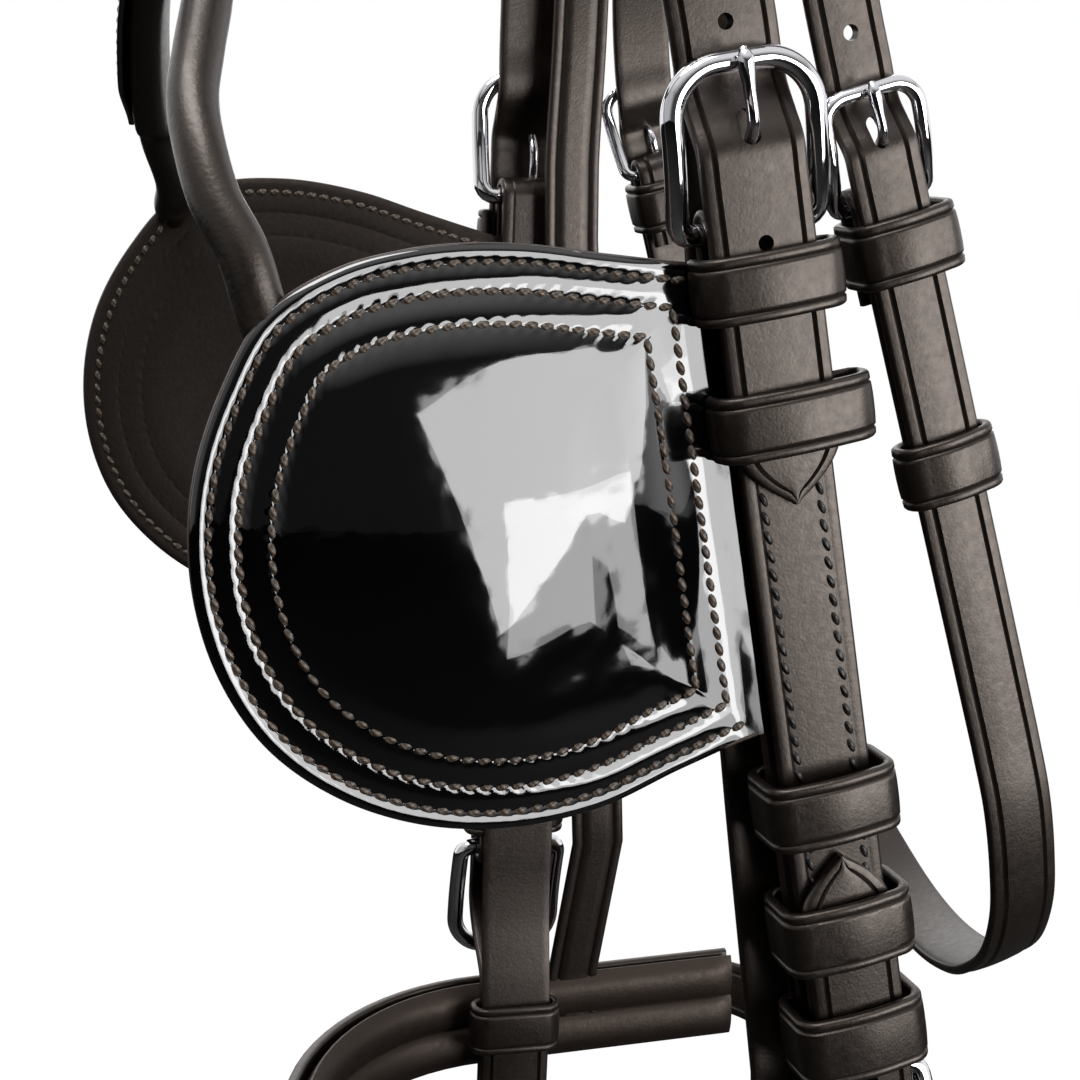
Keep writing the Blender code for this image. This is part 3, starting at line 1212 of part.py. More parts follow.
def build_throatlatch(guides, finishes):
    """One strap between the two throat buckles, each with a fixed keeper and a runner."""
    sizes = THROAT_BUCKLE
    ends = {}
    for side in (NEAR, FAR):
        name = SIDE_NAMES[side]
        guide = guides[side]["throat"]
        build_buckle(name + "_throat", sizes, guide, side, finishes["chrome"])
        high = sizes.billet_face + CLEAR
        fixed = throat_ring(THROAT_KEEPER_ROOM, THROAT_KEEPER_OFF, high, -sizes.strap_face - CLEAR,
                            THROAT_KEEPER_TOP, THROAT_KEEPER_H)
        add_object(name + "_throat_keeper", fixed, finishes["leather"], guide, side)
        runner = throat_ring(RUNNER_SIDE, 0.0, high, sizes.turn_x - sizes.strap_t / 2 - CLEAR,
                             RUNNER_TOP, RUNNER_H)
        add_object(name + "_throat_runner", runner, finishes["leather"], guide, side)
        lean = math.radians(THROAT_LEAN_DEG[side])
        turn = Matrix.Rotation(lean, 3, 'X')
        local = [(-sizes.turn_x, -THROAT_TURN)] + turn_arc(sizes.turn_x, 180, 0, 8)
        local += [(sizes.turn_x, -THROAT_STRAIGHT[side] * k / 3) for k in (1, 2, 3)]
        bar = Vector((THROAT_SPAN, THROAT_BAR_Y[side], THROAT_BAR_Z[side]))
        world = [bar + turn @ Vector((x, 0.0, z)) for x, z in local]
        ends[side] = [Vector((side * p.x, p.y, p.z)) for p in world]
    free = [ends[NEAR][-1]] + drawn_out(THROAT_ROUTE, THROAT_SPAN, THROAT_DRAWN) + [ends[FAR][-1]]
    path = ends[NEAR][:-1] + smooth_path(free, 2) + list(reversed(ends[FAR][:-1]))
    lean_near = math.radians(THROAT_LEAN_DEG[NEAR])
    lean_far = math.radians(THROAT_LEAN_DEG[FAR])

    def across(share):
        lean = lean_near + (lean_far - lean_near) * fade(share, 0.35, 0.72)
        return (0.0, math.cos(lean), math.sin(lean))

    latch = add_object("throatlatch_strap", strap(path, across, sizes.strap_w / 2, sizes.strap_t / 2),
                       finishes["leather"])
    for side in (NEAR, FAR):
        cut_tongue_slot(latch, SIDE_NAMES[side] + "_throat_slot", sizes, guides[side]["throat"], side)


# Noseband

def nose_side_x(offset):
    """Distance out to a layer of the noseband, from the padding's inner face."""
    return NOSE_HALF + offset


def nose_path(offset, near_rear, far_rear):
    """Plan of the noseband at a layer: straight sides and a half oval in front."""
    x = nose_side_x(offset)
    path = [Vector((x, near_rear, NOSE_Z)), Vector((x, near_rear / 2, NOSE_Z))]
    for i in range(19):
        angle = math.pi * i / 18
        y = NOSE_FORE - (NOSE_FRONT + offset) * math.sin(angle)
        path.append(Vector((x * math.cos(angle), y, NOSE_Z)))
    path += [Vector((-x, far_rear / 2, NOSE_Z)), Vector((-x, far_rear, NOSE_Z))]
    return path


def build_noseband(guides, finishes):
    """Padded noseband, its outer strap, and the chin strap with its buckle."""
    padding = add_object("noseband_padding",
                         strap(nose_path(NOSE_PAD_T / 2, NOSE_PAD_REAR, NOSE_REAR), (0.0, 0.0, 1.0),
                               NOSE_W / 2, NOSE_PAD_T / 2), finishes["lining"])
    for side in (NEAR, FAR):
        middle = side * nose_side_x(NOSE_PAD_T / 2)
        reach = HEAD_T / 2 + POCKET_ROOM
        y = HEAD_Y[side][-1]
        half = HEAD_W / 2 + POCKET_ROOM
        top = NOSE_Z + NOSE_W / 2
        low = HEAD_Z[-1] - POCKET_ROOM
        tool = box((middle - reach, y - half, low), (middle + reach, y + half, top + CUT_OVERRUN))
        boolean(padding, hide_tool(add_object(SIDE_NAMES[side] + "_pocket", tool)), 'DIFFERENCE')
    sizes = NOSE_BUCKLE
    guide = guides["chin"]
    bar = guide.location
    outer = NOSE_PAD_T + CLEAR + NOSE_STRAP_T / 2
    path = nose_path(outer, NOSE_REAR - 2 * NOSE_TURN, NOSE_REAR)
    path.reverse()
    local = [(sizes.turn_x, -NOSE_TURN / 2)] + turn_arc(sizes.turn_x, 0, 180, 8) + [(-sizes.turn_x, -NOSE_TURN)]
    path += [Vector((bar.x + x, bar.y + z, NOSE_Z)) for x, z in local]
    run = lengths(path)
    narrow = 1 - (2.0 * NOSE_TURN + math.pi * sizes.turn_x + NOSE_TURN) / run[-1]
    made = strap(path, (0.0, 0.0, 1.0),
                 lambda share: (NOSE_W + (NOSE_END_W - NOSE_W) * fade(share, narrow - 0.06, narrow)) / 2,
                 lambda share: (NOSE_STRAP_T + (sizes.strap_t - NOSE_STRAP_T) * fade(share, narrow - 0.06, narrow)) / 2)
    noseband = add_object("noseband_strap", made, finishes["leather"])
    cut_tongue_slot(noseband, "chin_slot", sizes, guide, NEAR)
    build_buckle("noseband", sizes, guide, NEAR, finishes["chrome"])
    ring = loop_ring(sizes.billet_w / 2 + KEEPER_SIDE / 2, -sizes.strap_face - CLEAR,
                     sizes.billet_face + CLEAR, THROAT_KEEPER_T, -NOSE_KEEPER_END,
                     -THROAT_KEEPER_TOP, CLEAR * 2)
    add_object("noseband_keeper", ring, finishes["leather"], guide)
    build_chin(guide, bar, finishes)


def build_chin(guide, bar, finishes):
    """Chin strap: sewn to the far end of the noseband, buckled at the near one."""
    sizes = NOSE_BUCKLE
    local = [(sizes.under_x, 1.12 * sizes.top_z)] + list(reversed(billet_dip(sizes)))
    local += [(sizes.billet_x, 0.3 * sizes.top_z), (sizes.billet_x, -2.3 * NOSE_TURN)]
    end = [Vector((bar.x + x, bar.y + z, NOSE_Z)) for x, z in local]
    route = [Vector((p.x, p.y, NOSE_Z + p.z)) for p in drawn_out(CHIN_ROUTE, NOSE_HALF, CHIN_SPAN)]
    path = smooth_path(route + end[:-1], 2) + [end[-1]]
    chin = add_object("chin_strap", strap(path, (0.0, 0.0, 1.0), sizes.billet_w / 2, sizes.billet_t / 2,
                                          tip=TIP_L * 0.7), finishes["leather"])
    tool = tongue_slot(sizes)
    punch(tool, sizes.billet_x, 0.0, tongue_hole_z(sizes) - HOLE_STEP * 0.8,
          sizes.billet_t + 2 * CUT_OVERRUN)
    boolean(chin, hide_tool(add_object("chin_holes", tool, None, guide)), 'DIFFERENCE')


def build_guides():
    """Empties on the buckles' bars, which the pieces are modelled round."""
    guides = {}
    for side in (NEAR, FAR):
        name = SIDE_NAMES[side]
        lean = Matrix.Rotation(math.radians(CHEEK_LEAN_DEG[side]), 3, 'X')
        place = (side * CHEEK_SPAN, CHEEK_BAR_Y[side], CHEEK_BAR_Z[side])
        upper = empty(name + "_upper_bar", place, lean)
        over = Matrix.Rotation(math.radians(180.0), 3, 'X')
        lower = empty(name + "_lower_bar", (0.0, 0.0, -CHEEK_LENGTH), over, upper)
        flex = empty(name + "_flex_line", (0.0, -FLEX_LINE, -BLINKER_DROP[side]), None, upper)
        lean = Matrix.Rotation(math.radians(THROAT_LEAN_DEG[side]), 3, 'X')
        place = (side * THROAT_SPAN, THROAT_BAR_Y[side], THROAT_BAR_Z[side])
        throat = empty(name + "_throat_bar", place, lean)
        guides[side] = {"upper": upper, "lower": lower, "flex": flex, "throat": throat}
    out, up = stay_axes()
    across = up.cross(out)
    guides["stay"] = empty("stay_bar", STAY_BAR, Matrix((out, across, up)).transposed())
    sizes = NOSE_BUCKLE
    bar_x = nose_side_x(NOSE_PAD_T + CLEAR + NOSE_STRAP_T / 2) - sizes.turn_x
    backward = Matrix(((1, 0, 0), (0, 0, 1), (0, -1, 0)))
    guides["chin"] = empty("chin_bar", (bar_x, NOSE_REAR, NOSE_Z), backward)
    return guides


def build():
    """The whole bridle."""
    clear_scene()
    finishes = {
        "leather": material("bridle_leather", (0.018, 0.015, 0.014), 0.45),
        "rolled": material("rolled_leather", (0.020, 0.017, 0.016), 0.55),
        "edge": material("leather_edge", (0.012, 0.010, 0.009), 0.60),
        "lining": material("lining_leather", (0.015, 0.013, 0.013), 0.65),
        "patent": material("patent_leather", (0.004, 0.004, 0.004), 0.06),
        "steel": material("blinker_steel", (0.55, 0.55, 0.55), 0.40, 1.0),
        "chrome": material("chrome_plate", (0.78, 0.78, 0.79), 0.08, 1.0),
    }
    guides = build_guides()
    build_crown(guides, finishes)
    build_headstrap(finishes["leather"])
    build_browband(finishes)
    for side in (NEAR, FAR):
        build_cheek(side, guides, finishes)
        build_bit_strap(side, guides, finishes)
        build_blinker(side, guides, finishes)
    build_stay(guides, finishes)
    build_throatlatch(guides, finishes)
    build_noseband(guides, finishes)


build()
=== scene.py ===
"""Looks of a leather driving bridle with patent blinkers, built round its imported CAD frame.

Laid out as an add-on: each Operator makes one group of pieces, and main() calls them in order.
"""
import math

import bmesh
import bpy
from mathutils import Matrix, Vector


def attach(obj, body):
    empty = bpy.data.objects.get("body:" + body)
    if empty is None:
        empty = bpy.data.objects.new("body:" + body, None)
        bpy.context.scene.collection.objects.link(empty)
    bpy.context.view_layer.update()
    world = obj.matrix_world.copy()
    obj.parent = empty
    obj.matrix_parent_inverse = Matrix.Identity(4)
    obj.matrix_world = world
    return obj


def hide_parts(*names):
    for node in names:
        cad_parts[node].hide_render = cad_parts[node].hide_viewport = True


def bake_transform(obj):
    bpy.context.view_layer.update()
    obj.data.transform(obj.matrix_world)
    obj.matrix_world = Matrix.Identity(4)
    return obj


bl_info = {
    "name": "Driving bridle",
    "version": (1, 0, 0),
    "blender": (4, 5, 0),
    "location": "View3D > Sidebar > Bridle",
    "description": "Dresses the packed frame of a driving bridle in leather, thread and chrome",
    "category": "Object",
}

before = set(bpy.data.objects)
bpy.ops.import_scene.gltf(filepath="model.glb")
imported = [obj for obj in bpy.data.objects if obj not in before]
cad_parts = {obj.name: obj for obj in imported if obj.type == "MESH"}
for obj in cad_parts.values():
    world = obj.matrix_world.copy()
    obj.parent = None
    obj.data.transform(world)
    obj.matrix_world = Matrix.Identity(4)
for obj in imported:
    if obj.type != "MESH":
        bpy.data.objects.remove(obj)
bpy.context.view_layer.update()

MM = 0.001
NEAR, FAR = 1, -1
SIDES = ((NEAR, "near"), (FAR, "far"))
ACROSS = (0.0, 1.0, 0.0)
UP = (0.0, 0.0, 1.0)
WHITE = (1.0, 1.0, 1.0, 1.0)


def mm(values):
    """Millimetres as metres, in a tuple of numbers or of points."""
    return tuple(v * MM if isinstance(v, float) else mm(v) for v in values)


# Angles up to which a piece is shaded smooth, in degrees
SMOOTH_PUNCHED = 32.0
SMOOTH_LEATHER = 40.0
SMOOTH_ARM = 50.0
SMOOTH_METAL = 60.0
SMOOTH_THREAD = 80.0

# Places of the buckle bars, as in the CAD
CHEEK_SPAN = 85.0 * MM
CHEEK_BAR_Z = {NEAR: -192.7 * MM, FAR: -193.5 * MM}
CHEEK_BAR_Y = {NEAR: 1.0 * MM, FAR: 5.0 * MM}
CHEEK_LEAN_DEG = {NEAR: 9.0, FAR: -2.33}
BILLET_LEAN_DEG = {NEAR: 12.0, FAR: -2.33}
CHEEK_LENGTH = 184.5 * MM
THROAT_SPAN = 79.5 * MM
THROAT_BAR_Z = {NEAR: -188.3 * MM, FAR: -186.0 * MM}
THROAT_BAR_Y = {NEAR: 31.3 * MM, FAR: 39.5 * MM}
THROAT_LEAN_DEG = {NEAR: 15.5, FAR: 14.0}
THROAT_BILLET_DEG = {NEAR: 15.5, FAR: 2.5}
STAY_BAR = (0.0, -68.0 * MM, -66.0 * MM)
STAY_LEAN_DEG = 27.5

# Crown and headstrap
SEAT_HALF = 77.5 * MM
SEAT_DROP = 62.0 * MM
CROWN_POLL_W = 46.0 * MM
CROWN_EAR_W = 35.0 * MM
CROWN_END_W = 43.5 * MM
CROWN_T = 3.2 * MM
CROWN_END_Z = -80.0 * MM
BILLET_ROOT = 7.0 * MM
ROOT_THIN = 0.84                # a billet's root is skived to this share of its thickness
PAD_T = 6.0 * MM
PAD_END_DEG = 15.0
HEAD_W = 15.0 * MM
HEAD_T = 2.6 * MM
HEAD_IN = 75.0 * MM
HEAD_Y = {NEAR: mm((-2.0, 8.4, 16.9, 15.2)), FAR: mm((12.5, 18.6, 20.8, 15.5))}
HEAD_Z = mm((-185.0, -302.0, -376.0, -433.0))
HEAD_TOP_Z = -62.0 * MM
HEAD_SLOPE_SHARES = (0.06, 0.32, 0.80)

# Cheeks
CLEAR = 0.3 * MM
CHEEK_TURN = 26.0 * MM
SEAM_HALF_T = 1.2 * MM
SEAM_DEPTH = 4.5 * MM
TAB_T = 0.9 * MM
KEEPER_T = 2.3 * MM
KEEPER_SIDE = 1.0 * MM
KEEPER_BOW = 0.9 * MM
KEEPER_TOP = mm((3.9, 31.0))
KEEPER_BACK = mm((1.9, 4.8))
KEEPER_H = 13.4 * MM
KEEPER_LOW = mm((112.0, 139.6, 164.2))
KEEPER_LOW_H = mm((14.3, 14.7, 15.3))
CHEEK_TIP = 54.7 * MM
BIT_TIP = 54.4 * MM
TIP_L = 12.0 * MM
SMALL_TIP_L = TIP_L * 0.7
HOLE_STEP = 21.0 * MM
PUNCH_R = 1.6 * MM
HOLE_ROOM = 0.35 * MM           # round a tongue in its hole, and in the slot of a turn
SLOT_ROOM = 0.45 * MM
THIN_CUT = 9.0 * MM             # depth of the cutter for a thin strap's hole
BIT_IN = 10.0 * MM
BIT_HANG = 43.5 * MM
BIT_DIP_SHARES = ((1.00, 0.42), (0.74, 0.59), (0.55, 0.66), (0.30, 0.74), (0.085, 0.83), (0.0, 0.91),
                  (0.0, 1.00))
BIT_LOOP_END = 104.0 * MM
BIT_LOOP_R = 6.4 * MM
BIT_PLY_END = 53.0 * MM
BACKING_T = 0.9 * MM
BACKING_SHARES = (0.0, 0.0, 0.02, 0.19, 0.52, 0.81, 1.0, 1.0)     # way in to the bit strap's inner ply
BACKING_PLACES = mm((-30.0, -2.0, 10.0, 20.0, 30.0, 38.0, 46.0, 52.0))  # below the bar
NOSE_LOOP_H = 14.0 * MM
NOSE_LOOP_T = 2.0 * MM

# Blinkers
BLINKER_L = 109.5 * MM
BLINKER_H = 116.0 * MM
BLINKER_TOP = 7.9 * MM
BLINKER_DROP = {NEAR: 0.0, FAR: 5.5 * MM}
FLEX_LINE = 12.6 * MM
FLEX_FLAT = 8.5 * MM
FLARE = 9.0 * MM
BULGE = 5.5 * MM
COVER_T = 1.9 * MM
LINING_T = 1.5 * MM
PLATE_T = 1.0 * MM
PLY_GAP = 0.5 * MM
BLINKER_OUTLINE_SHARES = (
    (-0.040, 0.114), (0.018, 0.112), (0.054, 0.103), (0.194, 0.065), (0.336, 0.025), (0.540, 0.000),
    (0.656, 0.008), (0.800, 0.061), (0.888, 0.159), (0.968, 0.303), (1.000, 0.482),
    (0.988, 0.595), (0.931, 0.737), (0.819, 0.859), (0.669, 0.947), (0.505, 0.992),
    (0.349, 0.999), (0.183, 0.972), (0.011, 0.950), (-0.040, 0.945),
)
DOME_CENTRE_SHARES = (0.50, 0.50)
DOME_REACH_SHARES = (0.43, 0.46)
STAY_CORNER_SHARES = (0.795, 0.058)
ROW_INSETS = mm((3.4, 8.8, 14.8))            # stitch rows in from the free edge
ROW_FRONTS = mm((-11.5, -18.2, -24.7))       # where those rows' lines pass the cheek
ROW_STEPS = 10                  # rings from one row to the next
RIM_POINTS = 430
SEAM_POINTS = 110
PANEL_SHARES = (0.93, 0.85, 0.76, 0.66, 0.56, 0.46, 0.36, 0.26, 0.16, 0.07)
PLATE_ROOM = PLATE_T / 2 + PLY_GAP
PLIES = {1: (COVER_T, 1.0), -1: (LINING_T, 0.45)}     # thickness, and share of the padding's height
RIPPLE = 0.10 * MM              # pull of each stitch on the leather beside it
RIPPLE_REACH = 1.3 * MM
ROWS_FROM = -14.5 * MM           # the rows begin in front of the cheek's edge
SEAM_EDGE = -5.6 * MM

# Winker stay
ROLL_R = 4.9 * MM
ARM_FLAT_W = 15.0 * MM
ARM_COVER_W = 17.0 * MM
ARM_COVER_T = 1.4 * MM
ARM_FLAT_T = 3.0 * MM
ARM_BOX_T = 8.4 * MM             # depth of an arm behind its patent cover
ARM_ROLL_TOP = {NEAR: -147.0 * MM, FAR: -176.0 * MM}
ARM_TAPER = 16.0 * MM           # length over which the cover's lower end widens
STAY_LENGTH = 52.0 * MM
STAY_TIP = 24.0 * MM
STAY_TURN = 18.0 * MM
ARM_GAP = 2.4 * MM
ROLL_SIDES = 28
ARM_ROUTE = {
    NEAR: mm(((88.0, -98.2, -195.2), (84.0, -102.2, -186.4), (79.0, -104.0, -177.6), (72.0, -104.3, -168.6),
              (64.0, -102.0, -159.4), (55.0, -99.0, -149.8), (44.0, -96.5, -138.0), (30.0, -94.5, -124.5),
              (16.0, -92.4, -113.7))),
    FAR: mm(((86.2, -91.7, -190.8), (77.9, -96.2, -176.6), (69.0, -98.6, -165.0), (59.8, -99.6, -155.0),
             (50.3, -99.8, -144.9), (40.0, -98.6, -134.5), (28.5, -96.0, -123.6), (16.0, -92.6, -113.7))),
}

# Browband
BROW_Z = -93.0 * MM
BROW_DIP = 7.0 * MM
BROW_W = 22.0 * MM
BROW_T = 2.4 * MM
BROW_LINING_T = 1.4 * MM
BROW_FRONT = 134.0 * MM
BROW_LOOP_T = 2.2 * MM
BROW_LOOP_ROOM = 1.2 * MM

# Throatlatch
THROAT_ROUTE = mm((
    (82.6, 66.4, -316.4), (81.0, 69.3, -330.9), (78.3, 71.3, -342.0), (72.0, 73.0, -353.2),
    (58.0, 75.4, -363.6), (38.0, 79.2, -371.3), (15.0, 82.6, -374.8), (-8.0, 85.1, -373.3),
    (-30.0, 85.6, -366.0), (-52.0, 82.0, -350.0), (-70.0, 75.0, -325.0), (-79.0, 66.0, -292.0),
))
THROAT_STRAIGHT = {NEAR: 118.0 * MM, FAR: 84.0 * MM}
THROAT_TURN = 20.0 * MM
THROAT_TIP = 60.0 * MM
THROAT_KEEPER_TOP = 2.6 * MM
THROAT_KEEPER_H = 13.4 * MM
RUNNER_TOP = 49.0 * MM
RUNNER_H = 13.4 * MM
THROAT_KEEPER_T = 2.0 * MM
THROAT_KEEPER_ROOM = 1.6 * MM
THROAT_KEEPER_OFF = 1.4 * MM
FOOT_PLAY = 0.45 * MM           # room for the blinker's rim under a bridging keeper's foot
LOOP_CORNER = 2.6 * MM          # inner radius of a keeper's bends
RUNNER_SIDE = 1.1 * MM

# Stitches, in shares of the thread's width
STITCH_HIGH = 0.34
STITCH_SAG = 0.22
STITCH_OUT = 0.16

# Noseband
NOSE_Z = -430.8 * MM
NOSE_W = 25.0 * MM
NOSE_PAD_T = 6.5 * MM
NOSE_STRAP_T = 3.0 * MM
NOSE_HALF = 79.0 * MM
NOSE_FRONT = 60.0 * MM
NOSE_FORE = -12.0 * MM
NOSE_REAR = 65.0 * MM
NOSE_PAD_REAR = 47.0 * MM
NOSE_END_W = 16.0 * MM
NOSE_TURN = 15.0 * MM
NOSE_KEEPER_END = 12.6 * MM
POCKET_DEPTH = 17.0 * MM
CHIN_ROUTE = mm((
    (-90.8, 36.0, -430.8), (-90.8, 52.0, -431.0), (-90.8, 67.0, -432.3), (-85.0, 78.5, -437.3),
    (-68.0, 87.0, -445.3), (-40.0, 95.0, -452.3), (0.0, 103.5, -455.3), (38.0, 110.5, -451.3),
    (64.0, 112.5, -442.3), (78.0, 108.5, -435.3),
))

# Shares of a buckle's height
TONGUE_SHARES = (0.10, 0.40, 0.64, 0.82)
DIP_SHARES = (0.50, 0.66, 0.82)
RISE_SHARE = 0.80
FOOT_SHARE = 0.22
FLAT_SHARE = 0.30               # above it the billet leaves the bar's height
LEVEL_SHARE = 1.25              # above it the billet lies behind the frame


class Buckle:
    """Sizes of one buckle with the strap on its bar and the billet that it holds."""

    def __init__(self, strap_w, strap_t, billet_w, billet_t, wire_r, bar_r, height, side, tongue_r,
                 corner_share):
        self.strap_w = strap_w
        self.strap_t = strap_t
        self.billet_w = billet_w
        self.billet_t = billet_t
        self.wire_r = wire_r
        self.bar_r = bar_r
        self.half_inner = billet_w / 2 + side
        self.corner = corner_share * (self.half_inner + wire_r)
        self.tongue_r = tongue_r
        self.turn_x = bar_r + CLEAR + strap_t / 2
        self.billet_x = bar_r + CLEAR + strap_t + CLEAR + billet_t / 2
        self.strap_face = self.turn_x + strap_t / 2
        self.billet_face = self.billet_x + billet_t / 2
        self.rise = self.billet_face - wire_r
        self.top_z = height - wire_r
        self.tongue_x = self.billet_face + CLEAR + tongue_r
        self.wrap_half = min(0.5 * tongue_r, 0.5 * bar_r)
        self.wrap_r = bar_r + CLEAR + self.wrap_half
        self.under_x = self.rise - wire_r - CLEAR - billet_t / 2 - CLEAR


CHEEK_BUCKLE = Buckle(*mm((20.0, 2.6, 22.0, 2.8, 2.3, 2.0, 34.2, 1.4, 1.6)), 0.70)
BIT_BUCKLE = Buckle(*mm((20.0, 2.6, 20.0, 2.6, 2.3, 2.0, 34.2, 2.0, 1.6)), 0.60)
THROAT_BUCKLE = Buckle(*mm((15.6, 2.4, 15.6, 2.4, 1.6, 1.5, 24.0, 0.8, 1.3)), 0.50)
STAY_BUCKLE = Buckle(*mm((14.0, 2.2, 14.0, 2.2, 1.5, 1.4, 22.5, 1.0, 1.2)), 0.45)
NOSE_BUCKLE = Buckle(*mm((16.0, 2.6, 16.0, 2.4, 1.7, 1.5, 26.5, 1.0, 1.3)), 0.45)


def length(name, description, default):
    return bpy.props.FloatProperty(name=name, description=description, default=default * MM, unit='LENGTH')


def tone(name, description, default):
    return bpy.props.StringProperty(name=name, description=description, default=default)


class BridleSizes(bpy.types.PropertyGroup):
    """Sizes of the detail that the leather worker adds."""
    crease_inset: length("Crease inset", "Distance of the creased line from a strap's edge", 2.9)
    crease_depth: length("Crease depth", "Depth of the creased line", 0.45)
    strap_dome: length("Strap dome", "Rise of a billet's middle over its edges", 0.55)
    cheek_pitch: length("Cheek stitch pitch", "Distance between two stitches of the cheeks", 3.9)
    blinker_pitch: length("Blinker stitch pitch", "Distance between two stitches of the blinkers", 3.3)
    thread_width: length("Thread width", "Width of a pulled stitch", 1.55)


class BridleColours(bpy.types.PropertyGroup):
    """Colours of the leathers, the thread and the stage, as sRGB hex."""
    leather: tone("Bridle leather", "Black waxed bridle leather", "14100d")
    patent: tone("Patent leather", "Lacquered cover of the blinkers", "030304")
    lining: tone("Lining", "Soft lining leather", "0d0b0a")
    padding: tone("Padding", "Dark brown leather of the padding", "1c1511")
    edge: tone("Edge", "Dyed and burnished cut edges", "2c2421")
    # The stitches are black thread; this lighter brown-grey is painted sheen on the thread of the blinkers,
    # browband and arm covers.
    thread: tone("Thread", "Waxed linen thread", "4b4036")
    seam: tone("Black thread", "Thread of the straps' seams", "120f0d")
    chrome: tone("Chrome", "Polished plating", "e6e6ea")
    floor: tone("Stage", "Floor under the bridle, as the light meets it", "484848")


# Materials

def linear(text):
    """An sRGB hex colour as linear RGBA."""
    channels = []
    for i in (0, 2, 4):
        c = int(text[i:i + 2], 16) / 255
        channels.append(c / 12.92 if c <= 0.04045 else ((c + 0.055) / 1.055) ** 2.4)
    return (*channels, 1.0)


def add_node(tree, kind, settings=None, links=None):
    """One node, with its settings and the links into it."""
    made = tree.nodes.new(kind)
    for key, value in (settings or {}).items():
        if isinstance(key, str) and hasattr(made, key) and key not in made.inputs:
            setattr(made, key, value)
        else:
            made.inputs[key].default_value = value
    for key, (source, output) in (links or {}).items():
        tree.links.new(source.outputs[output], made.inputs[key])
    return made


def new_material(name):
    """An empty material, its node tree, and the link that lays a pattern on the object."""
    made = bpy.data.materials.new(name)
    made.use_nodes = True
    made.node_tree.nodes.clear()
    place = add_node(made.node_tree, 'ShaderNodeTexCoord')
    return made, made.node_tree, {"Vector": (place, "Object")}


def shader_output(tree, settings, links):
    """The Principled shader of a material, linked to its output."""
    shader = add_node(tree, 'ShaderNodeBsdfPrincipled', settings, links)
    add_node(tree, 'ShaderNodeOutputMaterial', None, {"Surface": (shader, "BSDF")})
    return shader


def grained_leather(name, colour, rough_low, rough_high, grain_mm, grain_depth_mm, mottle=0.22, wax=0.0):
    """Drum dyed cow leather: fine pebbled grain, rubbed shinier in places, under a little wax."""
    made, tree, on_object = new_material(name)
    cloud = add_node(tree, 'ShaderNodeTexNoise', {"Scale": 1 / (14 * MM), "Detail": 4.0}, on_object)
    fibre = add_node(tree, 'ShaderNodeTexNoise', {"Scale": 1 / (1.6 * MM), "Detail": 5.0}, on_object)
    tint = add_node(tree, 'ShaderNodeMix', {"data_type": 'RGBA', "blend_type": 'MIX'},
                    {"Factor": (cloud, "Fac")})
    base = linear(colour)
    for socket, share in ((6, 1 - mottle), (7, 1 + mottle)):
        tint.inputs[socket].default_value = (*(c * share for c in base[:3]), 1.0)
    rough = add_node(tree, 'ShaderNodeMapRange',
                     {"From Min": 0.3, "From Max": 0.7, "To Min": rough_low, "To Max": rough_high},
                     {"Value": (fibre, "Fac")})
    cells = add_node(tree, 'ShaderNodeTexVoronoi', {"Scale": 1 / (grain_mm * MM), "feature": 'SMOOTH_F1'},
                     on_object)
    bump = add_node(tree, 'ShaderNodeBump', {"Strength": 0.55, "Distance": grain_depth_mm * MM},
                    {"Height": (cells, "Distance")})
    wear = add_node(tree, 'ShaderNodeBump', {"Strength": 0.35, "Distance": 0.12 * MM},
                    {"Height": (fibre, "Fac"), "Normal": (bump, "Normal")})
    shader_output(tree, {"IOR": 1.50, "Specular Tint": (1.0, 0.83, 0.72, 1.0), "Coat Weight": wax,
                         "Coat Roughness": 0.30, "Coat IOR": 1.45},
                  {"Base Color": (tint, 2), "Roughness": (rough, "Result"), "Normal": (wear, "Normal")})
    return made


def patent_leather(name, colour):
    """Split leather under poured lacquer: a mirror that is slightly uneven."""
    made, tree, on_object = new_material(name)
    wave = add_node(tree, 'ShaderNodeTexNoise', {"Scale": 1 / (16 * MM), "Detail": 2.0}, on_object)
    skin = add_node(tree, 'ShaderNodeTexNoise', {"Scale": 1 / (2.2 * MM), "Detail": 2.0}, on_object)
    bump = add_node(tree, 'ShaderNodeBump', {"Strength": 0.45, "Distance": 0.9 * MM},
                    {"Height": (wave, "Fac")})
    fine = add_node(tree, 'ShaderNodeBump', {"Strength": 0.12, "Distance": 0.05 * MM},
                    {"Height": (skin, "Fac"), "Normal": (bump, "Normal")})
    shader_output(tree, {"Base Color": linear(colour), "Roughness": 0.06, "IOR": 1.55,
                         "Coat Weight": 1.0, "Coat Roughness": 0.02},
                  {"Normal": (fine, "Normal")})
    return made


def waxed_thread(name, colour):
    """Twisted linen thread drawn through beeswax: ridged, with a dull shine; its colour is darkened in the
    twist's grooves and lightened on its ridges as painted shade and painted highlight.
    """
    made, tree, on_object = new_material(name)
    twist = add_node(tree, 'ShaderNodeTexWave',
                     {"Scale": 1 / (2.4 * MM), "Distortion": 0.6, "bands_direction": 'DIAGONAL'}, on_object)
    bump = add_node(tree, 'ShaderNodeBump', {"Strength": 0.5, "Distance": 0.12 * MM},
                    {"Height": (twist, "Fac")})
    # Painted shade and highlight: the colour follows the twist's height, darker in its grooves and lighter
    # on its ridges.
    tint = add_node(tree, 'ShaderNodeMix', {"data_type": 'RGBA'}, {"Factor": (twist, "Fac")})
    base = linear(colour)
    for socket, share in ((6, 0.45), (7, 1.7)):
        tint.inputs[socket].default_value = (*(c * share for c in base[:3]), 1.0)
    shader_output(tree, {"Roughness": 0.42},
                  {"Base Color": (tint, 2), "Normal": (bump, "Normal")})
    return made


